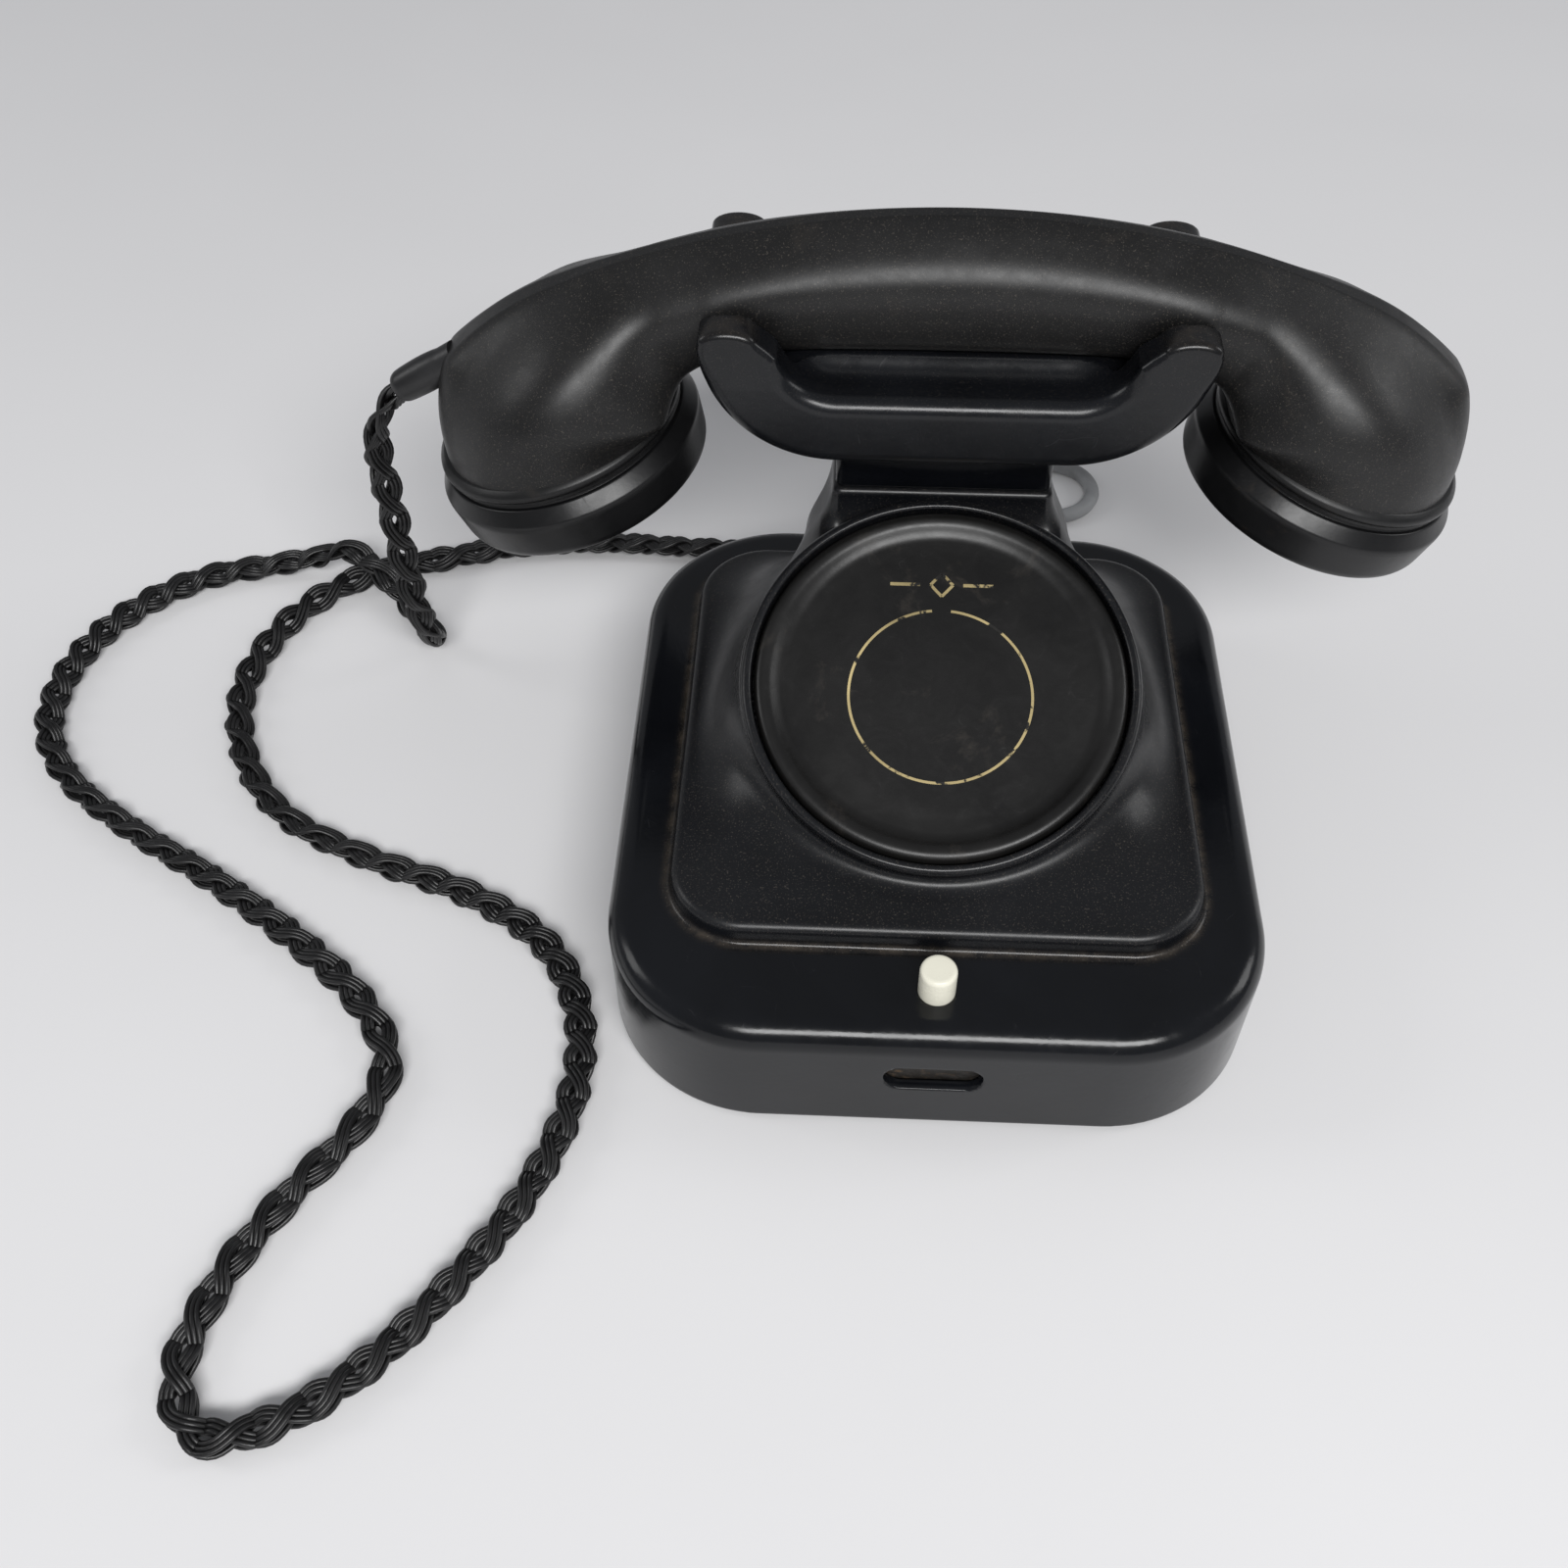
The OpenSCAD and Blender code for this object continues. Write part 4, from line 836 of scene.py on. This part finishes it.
dip = math.radians(31)
boot_axis = (-math.cos(dip), 0, -math.sin(dip))
boot_rows = rows((-118.0, MIDDLE_Y, 104.2), (0, 1, 0), (math.sin(dip), 0, -math.cos(dip)), boot_axis)
boot = revolve("boot_sleeve", [
    (0, -4.5), (4.0, -4.5), (3.9, -0.5, 0.6), (4.1, 1.0, 1), (4.3, 4.0, 2), (4.25, 7.5, 2), (4.1, 10.5, 2),
    (3.9, 12.4, 1.0), (3.4, 13.5, 0.8), (2.9, 13.7, 0.3), (2.7, 12.6)], 64, boot_rows)
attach(boot, "handset")
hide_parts("handset_boot")

# ---- plate, button, glands
plate = revolve("plate_disc", [
    (0, -4.2), (33, -4.2, 0.3), (33, -8.3), (38.7, -8.3), (38.7, -6.4), (42.8, -6.4), (42.8, -1.9, 0.7),
    (42.2, -0.7, 0.9), (41.0, -0.15, 1.1), (39.4, -0.35, 1.1), (37.6, -1.5, 1.2), (36.2, -2.1, 1.2),
    (33, -2.25, 1), (0, -2.2)], 192, plate_rows, 5)
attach(plate, "base")
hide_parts("blank_plate")


INLAY_LOW, INLAY_TOP = -2.25, -2.16  # from the plate's face to just above it, along the plate's axis


def inlay(name, lines):
    """Thin gilt lines that lie on the blank plate, each a list of points and a width."""
    parts = []
    for pts, width in lines:
        pts = np.asarray(pts, float)
        t = np.gradient(pts, axis=0)
        t /= np.linalg.norm(t, axis=1)[:, None]
        side = np.c_[-t[:, 1], t[:, 0]] * width / 2
        low, top = INLAY_LOW, INLAY_TOP
        parts.append(loft([np.array([[*(p - q), low], [*(p + q), low], [*(p + q), top], [*(p - q), top]])
                           for p, q in zip(pts, side)]))
    v, f = join_arrays(parts)
    obj = new_object(name, v @ plate_rows[:3] + plate_rows[3], f, smooth=False)
    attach(obj, "base")
    return obj


def circle_line(r, start, end, n, cy=0.0):
    """Points on a circle in the plate's plane."""
    a = np.radians(np.linspace(start, end, n))
    return np.c_[r * np.cos(a), cy + r * np.sin(a)]


# An open ring, two dashes above it and a lozenge between them.
gilt = inlay("plate_ornament", [
    (circle_line(21, 96, 444, 160, -3), 0.62),
    ([(-12, 24.5), (-9, 24.5), (-5, 24.5)], 0.8), ([(5, 24.5), (9, 24.5), (12, 24.5)], 0.8),
    ([(-2.6, 24.5), (-1.3, 26.0), (0, 27.4)], 0.7), ([(0, 27.4), (1.3, 26.0), (2.6, 24.5)], 0.7),
    ([(2.6, 24.5), (1.3, 23.0), (0, 21.6)], 0.7), ([(0, 21.6), (-1.3, 23.0), (-2.6, 24.5)], 0.7)])

button = revolve("button_cap", [
    (0, 14.6), (2, 14.6), (2, 25), (5.4, 25), (5.4, 27, 0.2), (4.1, 27), (4.1, 41.4, 0.5), (3.8, 42.1, 0.4),
    (3.2, 42.3, 0.3), (0, 42.3)], 64, rows((0, BUTTON_Y, 0), (1, 0, 0), (0, 1, 0), (0, 0, 1)))
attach(button, "call_button")
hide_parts("push_button")

spring_r, spring_low, spring_turns = 3.6, 16.3, 4
turn = np.linspace(0, 2 * spring_turns * math.pi, 161)
helix = np.c_[spring_r * np.cos(turn), spring_r * np.sin(turn) + BUTTON_Y, spring_low + turn / math.pi]
verts, faces = tube_arrays(helix, 0.4, 10)
spring = new_object("button_spring_coil", verts, faces)
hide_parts("button_spring")

for name, node, at, r_cord, length, r_out in (
        ("gland_braid", "handset_gland", GLAND_BRAID_X, 3.7, 7, 5.2),
        ("gland_line", "line_gland", GLAND_LINE_X, 2.25, 20, 4.6)):
    g = revolve(name, [
        (r_cord, -4.2), (r_out + 1.8, -4.2, 0.2), (r_out + 1.8, -2.6), (4.9, -2.6), (4.9, 0),
        (r_out + 1.2, 0), (r_out + 1.3, 1.0, 0.6), (r_out, 1.8, 0.5), (r_cord + 0.9, length - 0.4, 1.0),
        (r_cord + 0.3, length, 0.3), (r_cord - 0.1, length - 0.6)],
        64, rows((at, 82, GLAND_Z), (1, 0, 0), (0, 0, -1), (0, 1, 0)))
    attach(g, "base")
    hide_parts(node)

# ---- materials
class Nodes:
    """The shader nodes of one finish, added by short calls."""

    def __init__(self, name):
        self.material = bpy.data.materials.new(name)
        self.material.use_nodes = True
        self.nodes = self.material.node_tree.nodes
        self.links = self.material.node_tree.links
        self.shader = self.nodes["Principled BSDF"]
        self.where = self.add("TexCoord").outputs["Object"]

    def add(self, kind, **values):
        """A node with its inputs set, an underscore standing for the space in an input's name."""
        node = self.nodes.new("ShaderNode" + kind)
        for name, value in values.items():
            node.inputs[name.replace("_", " ")].default_value = value
        return node

    def noise(self, scale, detail, distort=0.0, rough_in=0.5):
        t = self.add("TexNoise", Scale=scale, Detail=detail, Distortion=distort, Roughness=rough_in)
        self.links.new(self.where, t.inputs["Vector"])
        return t.outputs["Fac"]

    def span(self, value, low, high, to_low, to_high):
        """The value with low to high stretched onto to_low to to_high."""
        m = self.add("MapRange", From_Min=low, From_Max=high, To_Min=to_low, To_Max=to_high)
        self.links.new(value, m.inputs["Value"])
        return m.outputs["Result"]

    def maths(self, op, a, b):
        m = self.add("Math")
        m.operation = op
        for socket, v in zip(m.inputs, (a, b)):
            if isinstance(v, (int, float)):
                socket.default_value = v
            else:
                self.links.new(v, socket)
        return m.outputs[0]

    def blend_colour(self, fac, a, b):
        m = self.add("Mix")
        m.data_type = "RGBA"
        self.links.new(fac, m.inputs["Factor"])
        for socket, v in ((m.inputs["A"], a), (m.inputs["B"], b)):
            if isinstance(v, tuple):
                socket.default_value = (*v, 1)
            else:
                self.links.new(v, socket)
        return m.outputs["Result"]

    def attribute(self, what):
        a = self.add("Attribute")
        a.attribute_name = what
        return a.outputs["Fac"]

    def crooked_lines(self, patch):
        """Distance to the nearest of many fine crooked lines."""
        v = self.add("TexVoronoi")
        v.feature = "DISTANCE_TO_EDGE"
        v.inputs["Scale"].default_value = patch * 2.4
        w = self.add("VectorMath")
        w.operation = "ADD"
        self.links.new(self.where, w.inputs[0])
        lump = self.add("TexNoise", Scale=patch * 1.3)
        self.links.new(self.where, lump.inputs["Vector"])
        small = self.add("VectorMath")
        small.operation = "SCALE"
        small.inputs["Scale"].default_value = 0.05
        self.links.new(lump.outputs["Color"], small.inputs[0])
        self.links.new(small.outputs[0], w.inputs[1])
        self.links.new(w.outputs[0], v.inputs["Vector"])
        return v.outputs["Distance"]


HAZE = (0.055, 0.052, 0.05)
DUST_SPECK = (0.23, 0.20, 0.165)
SEAM_DIRT = (0.10, 0.078, 0.055)


def add_dust(mix, colour, roughness, patch, satin_rough):
    """Haze and specks on faces marked satin, dirt in seams marked dust_line."""
    satin, line = mix.attribute("satin"), mix.attribute("dust_line")
    roughness = mix.maths("ADD", roughness, mix.maths("MULTIPLY", satin, satin_rough))
    cloud = mix.span(mix.noise(patch * 0.8, 6, 0.8), 0.3, 0.75, 0.02, 0.09)
    colour = mix.blend_colour(mix.maths("MULTIPLY", satin, cloud), colour, HAZE)
    amount = mix.maths("ADD", mix.maths("MULTIPLY", satin, 0.35), mix.maths("MULTIPLY", line, 1.0))
    speck = mix.span(mix.noise(2600, 2, 0, 0.5), 0.60, 0.72, 0, 0.55)
    colour = mix.blend_colour(mix.maths("MULTIPLY", amount, speck), colour, DUST_SPECK)
    seam = mix.maths("MULTIPLY", line, mix.span(mix.noise(260, 5, 0.3), 0.35, 0.7, 0.1, 0.75))
    colour = mix.blend_colour(seam, colour, SEAM_DIRT)
    return colour, mix.maths("ADD", roughness, mix.maths("MULTIPLY", seam, 0.4))


def add_scuffs(mix, colour, roughness, patch, smudge, scuff, base):
    """Fine scratches, paler and duller, where the smudges are."""
    scratch = mix.span(mix.crooked_lines(patch), 0.0, 0.012, 1, 0)
    lines = mix.maths("MULTIPLY", scratch, mix.span(smudge, 0.55, 0.68, 0, scuff))
    roughness = mix.maths("ADD", roughness, mix.maths("MULTIPLY", lines, 0.3))
    pale = tuple(min(1, c * 2.2 + 0.03) for c in base)
    return mix.blend_colour(mix.maths("MULTIPLY", lines, 0.35), colour, pale), roughness


def add_relief(mix, fine, patch, bump):
    """Fine grain about bump metres deep, and soft waves six times as deep."""
    relief = mix.add("Bump", Distance=1.0, Strength=0.7)
    grain = mix.maths("MULTIPLY", fine, bump)
    waves = mix.maths("MULTIPLY", mix.noise(patch * 1.1, 2), bump * 6)
    mix.links.new(mix.maths("ADD", grain, waves), relief.inputs["Height"])
    mix.links.new(relief.outputs["Normal"], mix.shader.inputs["Normal"])


def shade(name, base, rough, metal=0.0, spots=None, grain=700.0, bump=0.00003, patch=28.0,
          satin_rough=0.0, scuff=0.4, worn=None, specular=0.5):
    """A finish with soft patches, fine grain, small scuffs and, where asked, spots, wear and dust."""
    mix = Nodes(name)
    shader = mix.shader
    shader.inputs["Metallic"].default_value = metal
    shader.inputs["Specular IOR Level"].default_value = specular
    patches = mix.noise(patch, 4, 0.6)
    fine = mix.noise(grain, 3, 0.0, 0.6)
    smudge = mix.noise(patch * 4.3, 6, 1.4, 0.62)
    vary = 0.28 if max(base) < 0.7 else 0.02
    dark = tuple(c * (1 - vary) for c in base)
    light = tuple(min(1, c * (1 + vary)) for c in base)
    colour = mix.blend_colour(mix.span(patches, 0.35, 0.65, 0, 1), dark, light)
    broad = mix.maths("MULTIPLY", mix.span(patches, 0.3, 0.7, 0, 1), 0.45)
    small = mix.maths("MULTIPLY", mix.span(smudge, 0.38, 0.72, 0, 1), 0.55)
    roughness = mix.span(mix.maths("ADD", broad, small), 0, 1, *rough)
    if spots:
        tint, amount, cover = spots
        specks = mix.span(mix.noise(patch * 1.7, 8, 0.4, 0.7), cover, cover + 0.13, 0, amount)
        colour = mix.blend_colour(specks, colour, tint)
        roughness = mix.maths("ADD", roughness, mix.maths("MULTIPLY", specks, 0.25))
    if worn:
        tint, low, high, scale = worn
        gone = mix.span(mix.noise(scale, 5, 0.2, 0.6), low, high, 0, 1)
        colour = mix.blend_colour(gone, colour, tint)
        left = mix.maths("MULTIPLY", mix.maths("SUBTRACT", 1.0, gone), metal)
        mix.links.new(left, shader.inputs["Metallic"])
    if satin_rough:
        colour, roughness = add_dust(mix, colour, roughness, patch, satin_rough)
    if scuff:
        colour, roughness = add_scuffs(mix, colour, roughness, patch, smudge, scuff, base)
    mix.links.new(colour, shader.inputs["Base Color"])
    mix.links.new(mix.maths("MINIMUM", roughness, 0.95), shader.inputs["Roughness"])
    add_relief(mix, fine, patch, bump)
    return mix.material


# Spots are a tint, its strength and the noise level where it starts. Rough is a range.
MOULD = shade("black_bakelite", (0.0038, 0.0043, 0.0056), (0.13, 0.26), satin_rough=0.14, specular=0.36,
              spots=((0.05, 0.036, 0.022), 0.25, 0.70))
SATIN = shade("satin_bakelite", (0.0050, 0.0050, 0.0052), (0.32, 0.46), satin_rough=0.02, specular=0.38,
              spots=((0.040, 0.032, 0.024), 0.24, 0.60), patch=38)
CAPS = shade("cap_bakelite", (0.0046, 0.0046, 0.0050), (0.27, 0.40), specular=0.38,
             spots=((0.06, 0.045, 0.03), 0.35, 0.62))
PLATE = shade("plate_bakelite", (0.0070, 0.0067, 0.0064), (0.30, 0.44), specular=0.42,
              spots=((0.06, 0.05, 0.04), 0.30, 0.58), patch=36)
GILT = shade("gilt", (0.62, 0.50, 0.25), (0.35, 0.5), metal=0.55,
             worn=((0.012, 0.011, 0.010), 0.56, 0.60, 150.0), grain=2200, scuff=0)
IVORY = shade("ivory_plastic", (0.80, 0.78, 0.66), (0.22, 0.38),
              spots=((0.52, 0.45, 0.30), 0.4, 0.62), patch=90)
BRAID = shade("braid_lacquer", (0.0065, 0.0063, 0.0066), (0.32, 0.50), grain=1800, bump=0.00006, patch=90,
              scuff=0.2)
BOOT = shade("boot_rubber", (0.009, 0.009, 0.0095), (0.30, 0.44), patch=80)
GREY = shade("grey_vinyl", (0.24, 0.245, 0.25), (0.40, 0.55), spots=((0.25, 0.24, 0.22), 0.4, 0.60), patch=60)
PLUG = shade("plug_vinyl", (0.25, 0.255, 0.265), (0.38, 0.52), spots=((0.22, 0.21, 0.2), 0.4, 0.60), patch=50)
BY_SLOT = {
    "black_moulding": MOULD, "satin_moulding": SATIN, "plate_black": PLATE, "ivory": IVORY,
    "cord_black": BRAID, "boot_black": BOOT, "cord_grey": GREY, "plug_grey": PLUG,
    "steel": shade("steel_plate", (0.50, 0.51, 0.52), (0.28, 0.46), metal=0.95,
                   spots=((0.20, 0.11, 0.05), 0.55, 0.60), patch=40),
    "brass": shade("brass_strip", (0.66, 0.47, 0.20), (0.25, 0.42), metal=0.95,
                   spots=((0.16, 0.12, 0.07), 0.5, 0.60), patch=60),
    "board": shade("brown_board", (0.12, 0.065, 0.034), (0.45, 0.62),
                   spots=((0.30, 0.19, 0.10), 0.5, 0.52), patch=70, bump=0.00008),
    "winding": shade("enamel_winding", (0.30, 0.09, 0.035), (0.22, 0.40), grain=2600, bump=0.0001, patch=60),
    "can": shade("tin_can", (0.55, 0.54, 0.50), (0.30, 0.48), metal=0.9,
                 spots=((0.24, 0.15, 0.07), 0.5, 0.58), patch=50),
    "capsule": shade("capsule_metal", (0.58, 0.57, 0.54), (0.30, 0.46), metal=0.9,
                     spots=((0.2, 0.16, 0.1), 0.4, 0.6), patch=60),
    "foot_rubber": shade("foot_rubber", (0.020, 0.018, 0.017), (0.62, 0.8),
                         spots=((0.12, 0.10, 0.08), 0.5, 0.5), patch=120, bump=0.0001),
}


def paint(obj, mat):
    obj.data.materials.clear()
    obj.data.materials.append(mat)


for part in frame["record"].get("subparts", []):
    node = frame["nodes"].get(part["node"])
    if node is not None:
        paint(node, BY_SLOT[part["material_slot"]])
for obj in (housing, cradle, sleeve, lip):
    paint(obj, MOULD)
LINING = shade("slot_lining", (0.008, 0.006, 0.004), (0.5, 0.7), spots=((0.10, 0.06, 0.03), 0.6, 0.55),
               patch=160, bump=0.0003)
paint(frame["nodes"]["slot_cover"], LINING)
for name in ("handset_body", "handset_rim_left", "handset_rim_right"):
    paint(bpy.data.objects[name], SATIN)
for name in ("transmitter_cap_shell", "receiver_cap_shell"):
    paint(bpy.data.objects[name], CAPS)
paint(plate, PLATE)
paint(gilt, GILT)
paint(button, IVORY)
paint(spring, BY_SLOT["steel"])
paint(handset_cord, BRAID)
paint(line_cord, GREY)
for name in ("boot_sleeve", "gland_braid", "gland_line"):
    paint(bpy.data.objects[name], BOOT)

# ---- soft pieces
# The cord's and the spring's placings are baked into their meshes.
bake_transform(handset_cord)
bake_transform(spring)

# ---- floor and light
bpy.ops.mesh.primitive_plane_add(size=9, location=(0, 0, 0))
floor = bpy.context.object
floor.name = "table_top"
paint(floor, shade("pale_table", (0.775, 0.77, 0.775), (0.42, 0.52), spots=((0.72, 0.71, 0.70), 0.10, 0.66),
                   patch=2.2, grain=300, bump=0.00002, scuff=0))


def soft_light(name, place, target, size, power):
    """A rectangular lamp aimed at the target, power in watts."""
    data = bpy.data.lights.new(name, "AREA")
    data.shape = "RECTANGLE"
    data.size, data.size_y = size
    data.energy = power
    lamp = bpy.data.objects.new(name, data)
    lamp.location = place
    lamp.rotation_euler = (Vector(target) - Vector(place)).to_track_quat("-Z", "Y").to_euler()
    scene.collection.objects.link(lamp)


soft_light("window", (0.3, -1.45, 1.5), (0, 0.05, 0), (1.6, 0.55), 42)
soft_light("window_left", (-1.7, 0.1, 1.0), (0, 0, 0.05), (0.6, 0.8), 4)
soft_light("window_right", (1.7, 0.3, 1.0), (0, 0, 0.05), (0.6, 0.8), 5)
world = bpy.data.worlds.new("room")
scene.world = world
world.use_nodes = True
world.node_tree.nodes["Background"].inputs["Color"].default_value = (0.93, 0.95, 1.0, 1)
world.node_tree.nodes["Background"].inputs["Strength"].default_value = 0.26
scene.view_settings.view_transform = "Standard"
